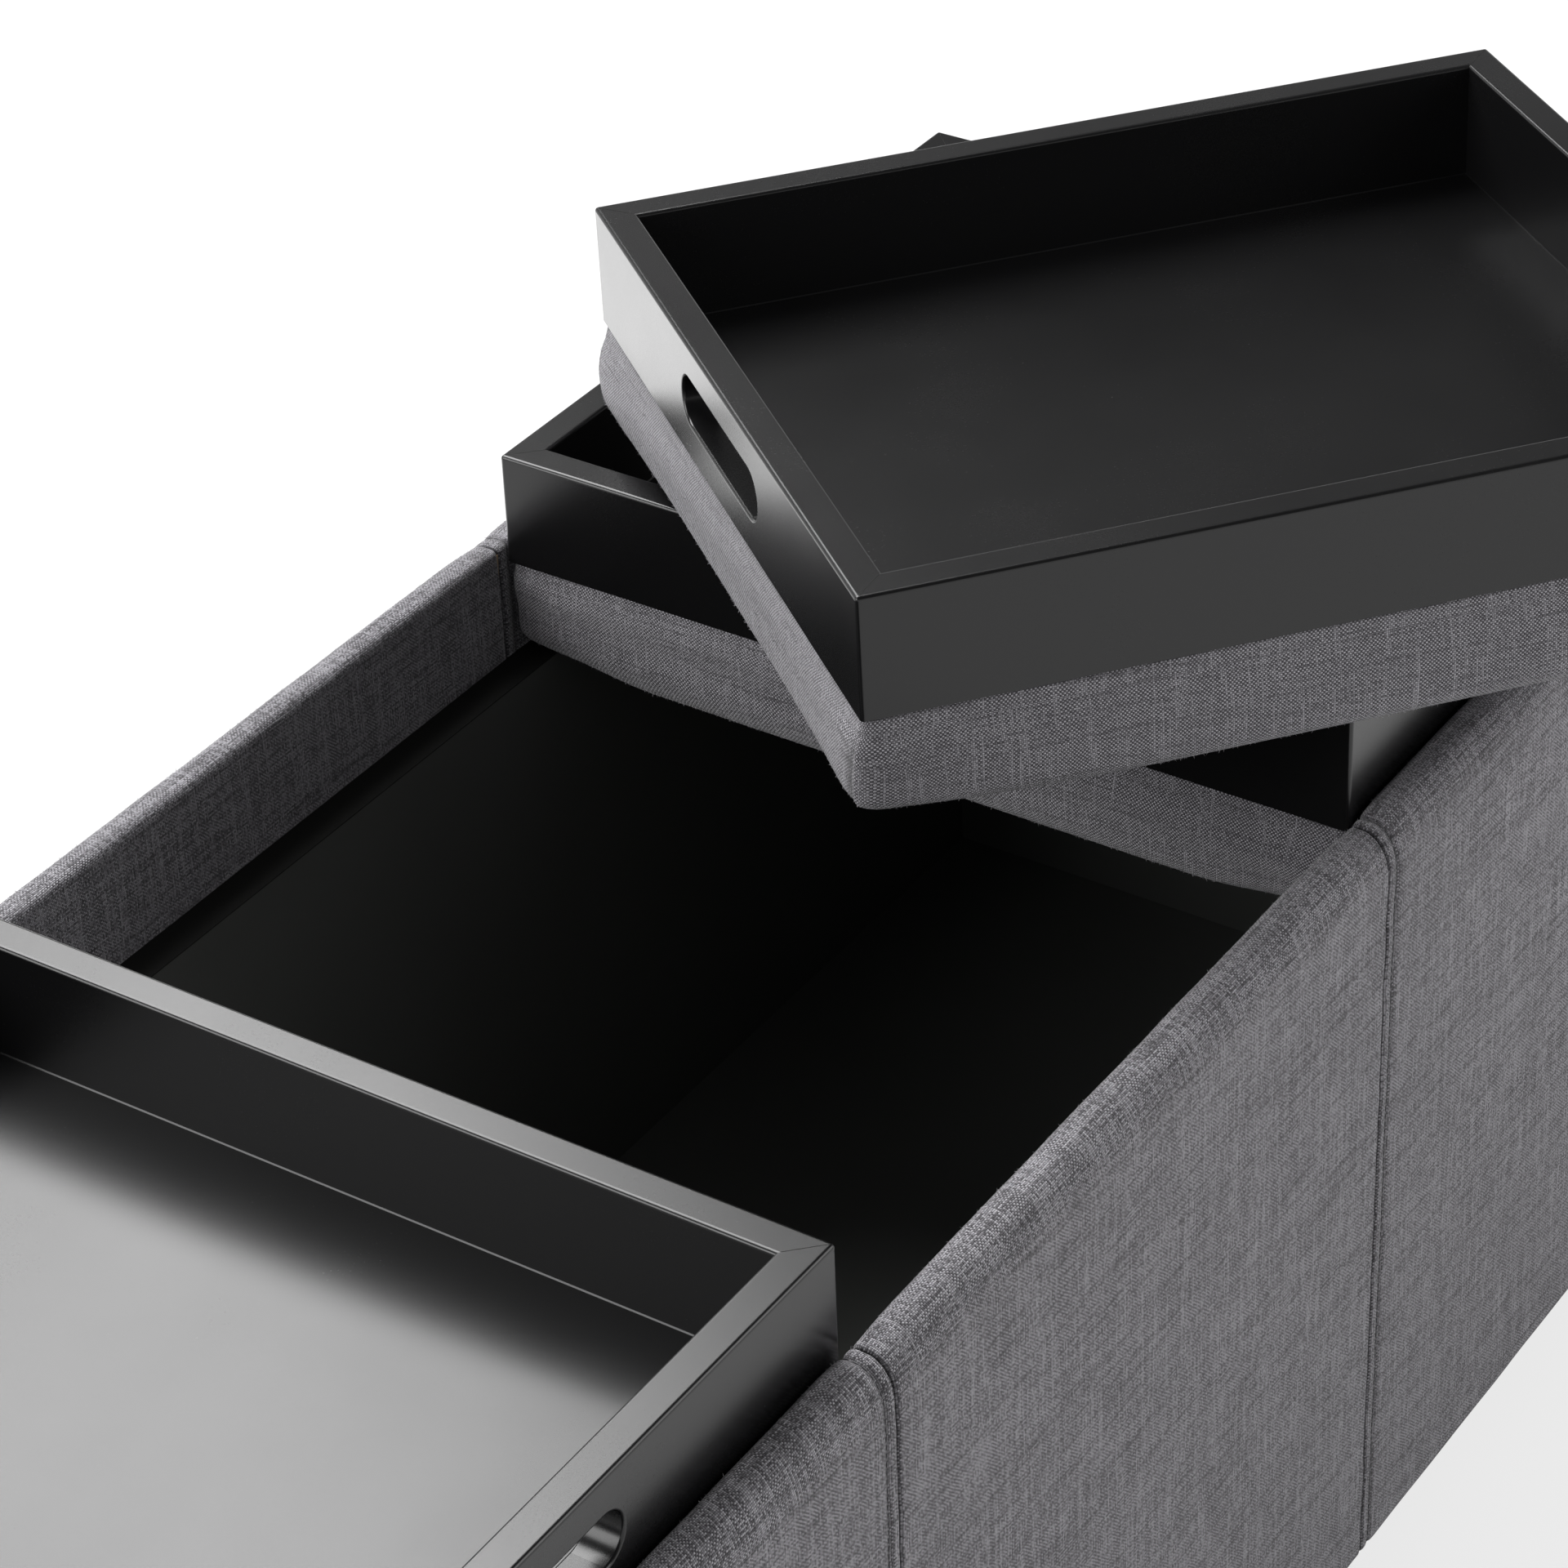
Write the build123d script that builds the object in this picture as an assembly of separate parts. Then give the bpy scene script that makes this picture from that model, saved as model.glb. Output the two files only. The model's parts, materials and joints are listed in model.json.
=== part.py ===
"""Bench ottoman with storage, under three reversible lids.

Each lid is a lacquered serving tray on one side and an upholstered seat pad on the other. The left and
the right lid lie in the bench with their trays up. The middle lid is lifted out and laid askew on the
right one.

Millimetres and degrees. X runs along the bench, -Y is its front, +Z is up. The bench is modelled about
its own centre and then moved, so that the origin is the centre of the whole object's footprint, on the
floor.
"""
from build123d import *

import math
import os

# Lids: sizes over all, the tray, and the pad under it
lid_length = 330.0
lid_depth = 380.0
tray_height = 49.0
tray_wall = 14.0
tray_edge_round = 1.5
tray_floor_thickness = 2.5
handle_length = 95.0
handle_height = 20.0
handle_edge_round = 1.2
pad_thickness = 44.0
pad_crown = 6.0
pad_board_thickness = 12.0
pad_round_width = 9.0
pad_round_height = 12.0
pad_corner_round = 6.0
pad_side_draw = 1.5
pad_tuck = 0.8
pad_tuck_height = 6.0
pad_lip_width = 12.0

# Box: boards, padding, fabric and storage room
fabric_thickness = 1.5
wall_board_thickness = 12.0
wall_foam_thickness = 2.9
lining_thickness = 15.0
floor_board_thickness = 9.0
storage_depth = 320.0
rim_above_tray = 8.0
rim_outer_round = 10.0
rim_inner_round = 4.0
box_corner_round = 10.0
opening_corner_round = 4.0
hem_width = 15.0

# Under the box
foot_height = 45.0
foot_top_width = 60.0
foot_bottom_width = 48.0
foot_edge_round = 2.0
foot_inset = 4.0
block_length = 90.0
block_width = 70.0
block_height = 15.0
dust_cover_thickness = 1.0
dust_cover_inset = 7.0

# Fasteners
bolt_radius = 4.0
bolt_in_foot = 25.0
bolt_in_block = 13.0
screw_radius = 2.0
screw_head_radius = 4.0
screw_head_height = 2.5
wall_screw_length = 40.0
wall_screw_margin = 50.0
wall_screw_rows = 3
lid_screw_bite = 12.0
lid_screw_from_corner = 55.0

# Clearances
lid_gap = 6.3
lid_end_clearance = 3.0
lid_side_clearance = 1.2
seat_clearance = 0.5
stack_clearance = 0.4
tray_floor_clearance = 0.2
board_clearance = 0.1
fastener_clearance = 0.05
foot_cutout_clearance = 1.0

# Pose of the middle lid, from the middle of the lid that it lies on
stack_along = -72.4
stack_forward = 76.0
stack_turn = -129.2
stack_tilt_x = -1.63
stack_tilt_y = 1.05

# Sizes that follow
opening_length = 3 * lid_length + 2 * lid_gap + 2 * lid_end_clearance
opening_depth = lid_depth + 2 * lid_side_clearance
wall_build = 2 * fabric_thickness + wall_foam_thickness + wall_board_thickness + board_clearance
overall_length = opening_length + 2 * wall_build
overall_depth = opening_depth + 2 * wall_build
board_inner_length = opening_length + 2 * (fabric_thickness + board_clearance)
board_inner_depth = opening_depth + 2 * (fabric_thickness + board_clearance)
board_outer_length = board_inner_length + 2 * wall_board_thickness
board_outer_depth = board_inner_depth + 2 * wall_board_thickness
lid_pitch = lid_length + lid_gap
foot_x = board_inner_length / 2 - foot_inset - foot_top_width / 2
foot_y = board_inner_depth / 2 - foot_inset - foot_top_width / 2

# Levels that follow
base_level = foot_height
floor_underside = base_level + block_height
floor_level = floor_underside + floor_board_thickness
tray_level = floor_level + storage_depth
ledge_level = tray_level - pad_thickness - seat_clearance
rim_level = tray_level + rim_above_tray
board_top_level = rim_level - fabric_thickness - wall_foam_thickness

# Levels in a lid, whose own origin is the middle of the tray's underside
pad_board_top = -fabric_thickness
pad_board_bottom = pad_board_top - pad_board_thickness
lid_screw_length = pad_board_thickness + fabric_thickness + lid_screw_bite

# Steps of the pad's lofts: angles round its lower edge, and shares of its width across its crown
round_angles = (0.0, 30.0, 60.0, 90.0)
crown_shares = (1.0, 0.8, 0.55, 0.3)

FROM_BELOW = (Align.CENTER, Align.CENTER, Align.MIN)
SIDES = ("front", "right", "rear", "left")
THIRDS = ("left", "middle", "right")
CORNERS = {
    "front_left": (-1, -1),
    "front_right": (1, -1),
    "rear_right": (1, 1),
    "rear_left": (-1, 1),
}


def slab(length, depth, bottom, top, x=0.0, y=0.0):
    """Plain box between two levels."""
    return Pos(x, y, bottom) * Box(length, depth, top - bottom, align=FROM_BELOW)


def prism(sketch, bottom, top):
    """Flat sketch raised from one level to another."""
    return extrude(Pos(0, 0, bottom) * sketch, top - bottom)


def outward(corner, distance):
    """Corner of a rectangle about the origin, moved out along its mitre."""
    x, y = corner
    return (x + math.copysign(1, x) * distance, y + math.copysign(1, y) * distance)


def mitre_regions(length, depth, reach, bottom, top):
    """Four prisms that part a rectangular ring into its sides along the mitres."""
    x, y = length / 2, depth / 2
    corners = [(-x, -y), (x, -y), (x, y), (-x, y)]
    regions = {}
    for index, side in enumerate(SIDES):
        start = corners[index]
        end = corners[(index + 1) % len(corners)]
        outline = [outward(start, reach), outward(end, reach), outward(end, -reach), outward(start, -reach)]
        regions[side] = prism(make_face(Polyline(*outline, close=True)), bottom, top)
    return regions


def screw(length, clearance=0.0):
    """Countersunk screw that points down, its head flush at the origin; with a clearance, the hole for it."""
    outline = Polyline(
        (0, clearance),
        (screw_head_radius + clearance, clearance),
        (screw_radius + clearance, -screw_head_height),
        (screw_radius + clearance, -length - clearance),
        (0, -length - clearance),
        close=True)
    return revolve(Plane.XZ * make_face(outline), Axis.Z)


def pad_section(half_x, half_y, corner, draw, level):
    """Flat section of a pad: a rounded rectangle whose sides are drawn in at their middles."""
    if draw == 0:
        return Pos(0, 0, level) * RectangleRounded(2 * half_x, 2 * half_y, corner)
    lean = corner * (1 - math.sqrt(0.5))
    edges = []
    for turn in (0, 90, 180, 270):
        out, along = (half_x, half_y) if turn % 180 == 0 else (half_y, half_x)
        side = ThreePointArc((out, corner - along), (out - draw, 0), (out, along - corner))
        bend = ThreePointArc((out, along - corner), (out - lean, along - lean), (out - corner, along))
        edges += [Rot(0, 0, turn) * side, Rot(0, 0, turn) * bend]
    return Pos(0, 0, level) * make_face(edges)


def pad_form(inset):
    """Closed pad, rounded in at its lower edge and crowned below; with an inset, what its cover holds."""
    half_x = lid_length / 2 - inset
    half_y = lid_depth / 2 - inset
    corner = pad_corner_round - inset
    round_width = pad_round_width - inset
    round_height = pad_round_height - inset
    round_start = pad_round_height - pad_thickness
    sides = [
        pad_section(half_x - pad_tuck, half_y - pad_tuck, corner, 0, -inset),
        pad_section(half_x, half_y, corner, 0, -pad_tuck_height),
        pad_section(half_x, half_y, corner, 0, pad_board_bottom),
    ]
    for angle in round_angles:
        inward = round_width * (1 - math.cos(math.radians(angle)))
        level = round_start - round_height * math.sin(math.radians(angle))
        sides.append(pad_section(half_x - inward, half_y - inward, corner + inward, pad_side_draw, level))
    crown = []
    for share in crown_shares:
        level = inset - pad_thickness - pad_crown * (1 - share**2)
        flat_x = (half_x - round_width) * share
        flat_y = (half_y - round_width) * share
        flat_corner = (corner + round_width) * share
        crown.append(pad_section(flat_x, flat_y, flat_corner, pad_side_draw * share, level))
    return loft(sides) + loft(crown)


def pad_depth(x, y):
    """Depth of a pad below its tray, at a point of its plan."""
    edge = min(lid_length / 2 - abs(x), lid_depth / 2 - abs(y))
    if edge < pad_round_width:
        cosine = 1 - edge / pad_round_width
        return pad_thickness - pad_round_height * (1 - math.sqrt(1 - cosine**2))
    flat_x = lid_length / 2 - pad_round_width
    flat_y = lid_depth / 2 - pad_round_width
    share = max(abs(x) / flat_x, abs(y) / flat_y, crown_shares[-1])
    return pad_thickness + pad_crown * (1 - share**2)


def lid_screw_places():
    """Where screws come up through the pad's board into the tray's four walls."""
    wall_x = lid_length / 2 - tray_wall / 2
    wall_y = lid_depth / 2 - tray_wall / 2
    near_x = lid_length / 2 - lid_screw_from_corner
    near_y = lid_depth / 2 - lid_screw_from_corner
    places = []
    for sign_x, sign_y in CORNERS.values():
        for x, y in ((near_x, wall_y), (wall_x, near_y)):
            places.append(Pos(sign_x * x, sign_y * y, pad_board_bottom) * Rot(180, 0, 0))
    return places


def tray_frame():
    """Mitred frame of a tray, with eased edges and a hand slot in its front and its rear wall."""
    half_x, half_y = lid_length / 2, lid_depth / 2
    frame = slab(lid_length, lid_depth, 0, tray_height)
    frame -= slab(lid_length - 2 * tray_wall, lid_depth - 2 * tray_wall, 0, tray_height)
    upright_edges = frame.edges().filter_by(Axis.Z)
    outer_corners = upright_edges.filter_by(lambda edge: abs(edge.center().X) > half_x - tray_wall / 2)
    top_edges = frame.edges().group_by(Axis.Z)[-1]
    frame = fillet(outer_corners + top_edges, tray_edge_round)
    slot = Pos(0, 0, tray_height / 2) * Rot(90, 0, 0) * SlotOverall(handle_length, handle_height)
    frame -= extrude(slot, half_y + tray_wall, both=True)
    slot_edges = frame.edges().filter_by(
        lambda edge: abs(edge.center().X) < handle_length / 2
        and abs(edge.center().Z - tray_height / 2) <= handle_height / 2
        and edge.bounding_box().size.Y < handle_edge_round
        and abs(edge.center().Y) > half_y - 2 * tray_wall)
    frame = fillet(slot_edges, handle_edge_round)
    for place in lid_screw_places():
        frame -= place * screw(lid_screw_length, fastener_clearance)
    regions = mitre_regions(lid_length, lid_depth, 2 * tray_wall, 0, tray_height)
    return {"tray_" + side: frame & regions[side] for side in SIDES}


def make_lid():
    """One lid about its own origin: tray frame, tray floor, board, foam, cover and screws."""
    parts = tray_frame()
    floor_length = lid_length - 2 * tray_wall - 2 * tray_floor_clearance
    floor_depth = lid_depth - 2 * tray_wall - 2 * tray_floor_clearance
    floor_top = pad_board_top + tray_floor_thickness
    parts["tray_floor"] = slab(floor_length, floor_depth, pad_board_top, floor_top)
    filling = pad_form(fabric_thickness)
    board_region = slab(lid_length, lid_depth, pad_board_bottom, pad_board_top)
    cover = pad_form(0) - filling
    cover -= slab(lid_length - 2 * pad_lip_width, lid_depth - 2 * pad_lip_width, pad_board_top, 0)
    board = filling & board_region
    for place in lid_screw_places():
        hole = place * screw(lid_screw_length, fastener_clearance)
        cover -= hole
        board -= hole
    parts["pad_board"] = board
    parts["pad_foam"] = filling - board_region
    parts["pad_cover"] = cover
    parts["lid_screws"] = [place * screw(lid_screw_length) for place in lid_screw_places()]
    return parts


def stack_rotation():
    """Turn and tilt of the middle lid on its crowned pad."""
    return Rot(stack_tilt_x, 0, 0) * Rot(0, stack_tilt_y, 0) * Rot(0, 0, stack_turn)


def over_rim(x, y):
    """Whether a point lies over the rim of a tray, in that tray's plan."""
    edge = min(lid_length / 2 - abs(x), lid_depth / 2 - abs(y))
    return 0 <= edge <= tray_wall


def stack_height(samples=90):
    """Height of the middle lid over the lid below, at which its pad just clears that tray's rim."""
    turned = stack_rotation()
    along, across, up = [(turned * Pos(*unit)).position for unit in ((1, 0, 0), (0, 1, 0), (0, 0, 1))]
    height = 0.0
    for row in range(-samples, samples + 1):
        x = lid_length / 2 * row / samples
        for column in range(-samples, samples + 1):
            y = lid_depth / 2 * column / samples
            under = along * x + across * y - up * pad_depth(x, y)
            if over_rim(stack_along + under.X, under.Y - stack_forward):
                height = max(height, tray_height + stack_clearance - under.Z)
    return height


def wrapped_wall(inset):
    """Ring of the box's walls, rounded over the rim; with an inset, what the fabric holds."""
    growth = 2 * inset
    outside = RectangleRounded(overall_length - growth, overall_depth - growth, box_corner_round - inset)
    inside = RectangleRounded(opening_length + growth, opening_depth + growth, opening_corner_round + inset)
    ring = prism(outside - inside, base_level, rim_level - inset)
    ring = fillet(ring.faces().sort_by(Axis.Z)[-1].outer_wire().edges(), rim_outer_round - inset)
    return fillet(ring.faces().sort_by(Axis.Z)[-1].inner_wires()[0].edges(), rim_inner_round - inset)


def wall_screw_places():
    """Where screws go through the front and rear boards into the ends of the side boards."""
    x = board_outer_length / 2 - wall_board_thickness / 2
    y = board_outer_depth / 2
    low = base_level + wall_screw_margin
    high = board_top_level - wall_screw_margin
    places = []
    for sign_x, sign_y in CORNERS.values():
        for row in range(wall_screw_rows):
            z = low + (high - low) * row / (wall_screw_rows - 1)
            places.append(Pos(sign_x * x, sign_y * y, z) * Rot(-90 * sign_y, 0, 0))
    return places


def make_walls(core):
    """Wall boards, shaped to the rounded rim where the fabric turns over it."""
    end_x = (board_inner_length + wall_board_thickness) / 2
    side_y = (board_inner_depth + wall_board_thickness) / 2
    boards = {
        "wall_front": slab(board_outer_length, wall_board_thickness, base_level, board_top_level, y=-side_y),
        "wall_rear": slab(board_outer_length, wall_board_thickness, base_level, board_top_level, y=side_y),
        "wall_left": slab(wall_board_thickness, board_inner_depth, base_level, board_top_level, x=-end_x),
        "wall_right": slab(wall_board_thickness, board_inner_depth, base_level, board_top_level, x=end_x),
    }
    holes = [place * screw(wall_screw_length, fastener_clearance) for place in wall_screw_places()]
    return {name: (board & core) - holes for name, board in boards.items()}


def make_padding(core):
    """Thin foam over the outside and the top of the wall boards."""
    bare = slab(board_outer_length, board_outer_depth, base_level, board_top_level)
    regions = mitre_regions(overall_length, overall_depth, 2 * wall_build, base_level, rim_level)
    return {"padding_" + side: (core - bare) & regions[side] for side in SIDES}


def make_covers(core):
    """Fabric over the walls: down the outside to a hem underneath, and down the inside to the floor board."""
    hem_level = base_level - fabric_thickness
    shell = wrapped_wall(0) - core
    shell -= slab(board_inner_length, board_inner_depth, base_level, floor_level)
    hem = RectangleRounded(overall_length, overall_depth, box_corner_round)
    hem -= Rectangle(overall_length - 2 * hem_width, overall_depth - 2 * hem_width)
    shell += prism(hem, hem_level, base_level)
    regions = mitre_regions(overall_length, overall_depth, 2 * wall_build, hem_level, rim_level)
    covers = {"cover_left": shell & regions["left"], "cover_right": shell & regions["right"]}
    for third, middle in zip(THIRDS, (-lid_pitch, 0.0, lid_pitch)):
        spread = lid_pitch if third == "middle" else overall_length - 2 * lid_pitch
        start = middle if third == "middle" else math.copysign((lid_pitch + spread) / 2, middle)
        strip = slab(spread, 2 * overall_depth, hem_level, rim_level, x=start)
        for side in ("front", "rear"):
            covers[f"cover_{side}_{third}"] = shell & regions[side] & strip
    return covers


def make_lining():
    """Black boards that line the storage box; their top edges are the ledge for the lids."""
    opening = RectangleRounded(opening_length, opening_depth, opening_corner_round)
    room = prism(opening, floor_level, ledge_level)
    end_x = (opening_length - lining_thickness) / 2
    side_y = (opening_depth - lining_thickness) / 2
    end_depth = opening_depth - 2 * lining_thickness
    boards = {
        "lining_front": slab(opening_length, lining_thickness, floor_level, ledge_level, y=-side_y),
        "lining_rear": slab(opening_length, lining_thickness, floor_level, ledge_level, y=side_y),
        "lining_left": slab(lining_thickness, end_depth, floor_level, ledge_level, x=-end_x),
        "lining_right": slab(lining_thickness, end_depth, floor_level, ledge_level, x=end_x),
    }
    return {name: board & room for name, board in boards.items()}


def make_underside():
    """Floor board, corner blocks, tapered feet with their bolts, and the dust cover cut round the feet."""
    parts = {"floor_board": slab(board_inner_length, board_inner_depth, floor_underside, floor_level)}
    cover_top = base_level - fabric_thickness
    dust_cover = slab(overall_length - 2 * dust_cover_inset, overall_depth - 2 * dust_cover_inset,
                      cover_top - dust_cover_thickness, cover_top)
    cutout = foot_top_width + 2 * foot_cutout_clearance
    foot_sole = RectangleRounded(foot_bottom_width, foot_bottom_width, foot_edge_round)
    foot_top = Pos(0, 0, foot_height) * RectangleRounded(foot_top_width, foot_top_width, foot_edge_round)
    foot = loft([foot_sole, foot_top], ruled=True)
    bolt_bottom = foot_height - bolt_in_foot
    bolt_top = base_level + bolt_in_block
    bolt = prism(Circle(bolt_radius), bolt_bottom, bolt_top)
    bolt_hole = prism(Circle(bolt_radius + fastener_clearance), bolt_bottom, bolt_top)
    bolts = []
    for corner, (sign_x, sign_y) in CORNERS.items():
        place = Pos(sign_x * foot_x, sign_y * foot_y, 0)
        block_x = sign_x * (board_inner_length - block_length) / 2
        block_y = sign_y * (board_inner_depth - block_width) / 2
        block = slab(block_length, block_width, base_level, floor_underside, x=block_x, y=block_y)
        parts["block_" + corner] = block - place * bolt_hole
        parts["foot_" + corner] = place * (foot - bolt_hole)
        bolts.append(place * bolt)
        dust_cover -= place * slab(cutout, cutout, cover_top - dust_cover_thickness, cover_top)
    parts["foot_bolts"] = bolts
    parts["dust_cover"] = dust_cover
    return parts


def make_bench():
    """All pieces of the box."""
    core = wrapped_wall(fabric_thickness)
    parts = make_walls(core)
    parts.update(make_padding(core))
    parts.update(make_covers(core))
    parts.update(make_lining())
    parts.update(make_underside())
    parts["wall_screws"] = [place * screw(wall_screw_length) for place in wall_screw_places()]
    return parts


def placed(place, shape):
    """A piece, or a group of like pieces as one compound, at its place."""
    if isinstance(shape, list):
        return place * Compound(shape)
    return place * shape


def make_object():
    """Every node of the object by name, with the origin under the middle of its box."""
    stacked = Pos(lid_pitch + stack_along, -stack_forward, tray_level + stack_height()) * stack_rotation()
    lid_places = {
        "left": Pos(-lid_pitch, 0, tray_level),
        "middle": stacked,
        "right": Pos(lid_pitch, 0, tray_level),
    }
    nodes = {name: placed(Pos(0, 0, 0), shape) for name, shape in make_bench().items()}
    lid = make_lid()
    for which, place in lid_places.items():
        for name, shape in lid.items():
            nodes[f"{which}_{name}"] = placed(place, shape)
    boxes = [node.bounding_box() for node in nodes.values()]
    low_x, high_x = min(box.min.X for box in boxes), max(box.max.X for box in boxes)
    low_y, high_y = min(box.min.Y for box in boxes), max(box.max.Y for box in boxes)
    shift = Pos(-(low_x + high_x) / 2, -(low_y + high_y) / 2, 0)
    print(f"bench centre moved by {shift.position.X:.3f}, {shift.position.Y:.3f}")
    return {name: shift * node for name, node in nodes.items()}


def main():
    os.makedirs("parts", exist_ok=True)
    nodes = make_object()
    for name, node in nodes.items():
        export_step(node, f"parts/{name}.step")
    print(f"{len(nodes)} nodes; box {overall_length:.1f} x {overall_depth:.1f}, rim at {rim_level:.1f}")


main()
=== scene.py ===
# %% [markdown]
# A bench ottoman with storage. Three equal lids close it. Each lid is a black lacquered serving tray on one
# side and an upholstered seat pad on the other. The left and right lids lie in the bench with their trays up,
# and the middle lid is laid askew on the right one, so that the black storage room shows.
#
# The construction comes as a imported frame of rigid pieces. This lesson dresses that frame: it gives the wood
# its lacquer, and it makes the soft pieces, which are the pads and the fabric covers, as cloth.

# %% Load the frame
import json
import math

import bmesh
import bpy
import numpy as np
from mathutils import Matrix, Vector, noise

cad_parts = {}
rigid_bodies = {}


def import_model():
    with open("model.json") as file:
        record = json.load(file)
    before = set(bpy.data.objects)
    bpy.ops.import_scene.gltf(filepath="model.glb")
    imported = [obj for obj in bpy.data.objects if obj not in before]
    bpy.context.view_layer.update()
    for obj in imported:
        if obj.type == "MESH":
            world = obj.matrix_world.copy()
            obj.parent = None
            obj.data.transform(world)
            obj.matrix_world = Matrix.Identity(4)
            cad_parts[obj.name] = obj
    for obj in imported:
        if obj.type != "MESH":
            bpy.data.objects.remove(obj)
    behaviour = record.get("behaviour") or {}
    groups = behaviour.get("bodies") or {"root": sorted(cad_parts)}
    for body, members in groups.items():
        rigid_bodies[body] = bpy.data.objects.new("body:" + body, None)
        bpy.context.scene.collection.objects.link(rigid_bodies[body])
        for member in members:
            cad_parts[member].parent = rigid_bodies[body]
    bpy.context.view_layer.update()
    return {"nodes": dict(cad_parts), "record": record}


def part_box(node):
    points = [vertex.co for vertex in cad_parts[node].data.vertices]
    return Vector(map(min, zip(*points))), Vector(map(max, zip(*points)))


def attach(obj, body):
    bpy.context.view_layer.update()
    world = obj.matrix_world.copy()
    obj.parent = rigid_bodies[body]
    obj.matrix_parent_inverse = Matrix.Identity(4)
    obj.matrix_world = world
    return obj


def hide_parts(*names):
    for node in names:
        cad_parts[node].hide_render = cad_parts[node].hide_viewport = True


for leftover in list(bpy.data.objects):
    bpy.data.objects.remove(leftover, do_unlink=True)

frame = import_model()
MM = 0.001

# %% [markdown]
# Every size below is either read from the frame or is a real size in millimetres. The bench gives its outer
# faces, its rim, and the width of the rim. A lid gives its length and depth. The middle lid is turned and
# tilted, so its box says nothing about its length, but the middle of its tray floor is still the middle of
# that box. With the turn and the tilt this gives the whole place of the lid.

# %% Sizes of the bench and places of the lids
BENCH_LOW = Vector((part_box("cover_left")[0].x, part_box("cover_front_middle")[0].y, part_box("cover_left")[0].z))
BENCH_HIGH = Vector((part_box("cover_right")[1].x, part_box("cover_rear_middle")[1].y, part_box("cover_left")[1].z))
BENCH_MIDDLE = (BENCH_LOW + BENCH_HIGH) / 2
RIM_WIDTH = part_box("cover_front_middle")[1].y - BENCH_LOW.y
FRONT_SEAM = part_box("cover_front_middle")[1].x
STORAGE_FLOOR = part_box("floor_board")[1].z
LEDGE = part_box("lining_front")[1].z

LID_LOW = Vector((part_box("left_tray_left")[0].x, *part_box("left_tray_front")[0].yz))
LID_HIGH = Vector((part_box("left_tray_right")[1].x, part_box("left_tray_rear")[1].y,
                   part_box("left_tray_front")[1].z))
LID_LENGTH = LID_HIGH.x - LID_LOW.x
LID_DEPTH = LID_HIGH.y - LID_LOW.y
TRAY_HEIGHT = LID_HIGH.z - LID_LOW.z
TRAY_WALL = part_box("left_tray_front")[1].y - LID_LOW.y

STACK_TURN = math.radians(-129.2)
STACK_TILT_X = math.radians(-1.63)
STACK_TILT_Y = math.radians(1.05)


def floor_middle(which):
    low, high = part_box(f"{which}_tray_floor")
    return (low + high) / 2


def lid_place(which):
    """Matrix from a lid's own frame, with its origin under the middle of the tray, to the bench's frame."""
    turn = Matrix.Identity(3)
    if which == "middle":
        turn = (Matrix.Rotation(STACK_TILT_X, 3, "X") @ Matrix.Rotation(STACK_TILT_Y, 3, "Y")
                @ Matrix.Rotation(STACK_TURN, 3, "Z"))
    rise = floor_middle("left").z - LID_LOW.z
    return Matrix.Translation(floor_middle(which) - turn @ Vector((0, 0, rise))) @ turn.to_4x4()


LIDS = {which: lid_place(which) for which in ("left", "middle", "right")}
for which, place in LIDS.items():
    print(which, "lid at", [round(value, 4) for value in place.translation])

# %% [markdown]
# Node trees are easier to read as formulas. A `Socket` stands for one output of a node. Adding or multiplying
# sockets adds Math nodes behind the scenes. A `Graph` holds a tree, and its one method `node` adds any other
# node: first its settings, then the values or links of its inputs.

# %% Formulas for node trees


class Socket:
    """One output of a node, with arithmetic that adds Math nodes."""

    def __init__(self, graph, plug):
        self.graph = graph
        self.plug = plug

    def maths(self, operation, *values):
        inputs = dict(enumerate((self,) + values))
        return self.graph.node("ShaderNodeMath", {"operation": operation}, inputs)

    def other(self, name):
        """Another output of the same node."""
        return Socket(self.graph, self.plug.node.outputs[name])

    def __add__(self, value):
        return self.maths("ADD", value)

    __radd__ = __add__

    def __sub__(self, value):
        return self.maths("SUBTRACT", value)

    def __rsub__(self, value):
        return (self * -1) + value

    def __mul__(self, value):
        return self.maths("MULTIPLY", value)

    __rmul__ = __mul__

    def __truediv__(self, value):
        return self.maths("DIVIDE", value)

    def __mod__(self, value):
        return self.maths("FLOORED_MODULO", value)


class Graph:
    """A node tree that is being built."""

    def __init__(self, tree):
        self.tree = tree

    def node(self, kind, settings=None, inputs=None, output=0):
        """Adds a node and gives one of its outputs, or the node itself where it has none."""
        made = self.tree.nodes.new(kind)
        for name, value in (settings or {}).items():
            setattr(made, name, value)
        for name, value in (inputs or {}).items():
            self.join(value, made.inputs[name])
        return Socket(self, made.outputs[output]) if len(made.outputs) else made

    def join(self, value, target):
        if isinstance(value, Socket):
            self.tree.links.new(value.plug, target)
        else:
            target.default_value = value

    def axis(self, vector, name):
        """One coordinate of a vector."""
        return self.node("ShaderNodeSeparateXYZ", None, {0: vector}, name)

    def vector(self, x, y, z=0.0):
        return self.node("ShaderNodeCombineXYZ", None, {"X": x, "Y": y, "Z": z})

    def stretched(self, vector, scale):
        return self.node("ShaderNodeMapping", None, {"Vector": vector, "Scale": scale})

    def noise(self, vector, scale, detail=2.0, roughness=0.5):
        inputs = {"Vector": vector, "Scale": scale, "Detail": detail, "Roughness": roughness}
        return self.node("ShaderNodeTexNoise", None, inputs)

    def blend(self, factor, first, second):
        """Mix of two colours; a Mix node takes colours at inputs 6 and 7 and gives one at output 2."""
        return self.node("ShaderNodeMix", {"data_type": "RGBA"}, {0: factor, 6: first, 7: second}, 2)

    def bump(self, height, strength, distance):
        inputs = {"Strength": strength, "Distance": distance, "Height": height}
        return self.node("ShaderNodeBump", None, inputs)


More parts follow.
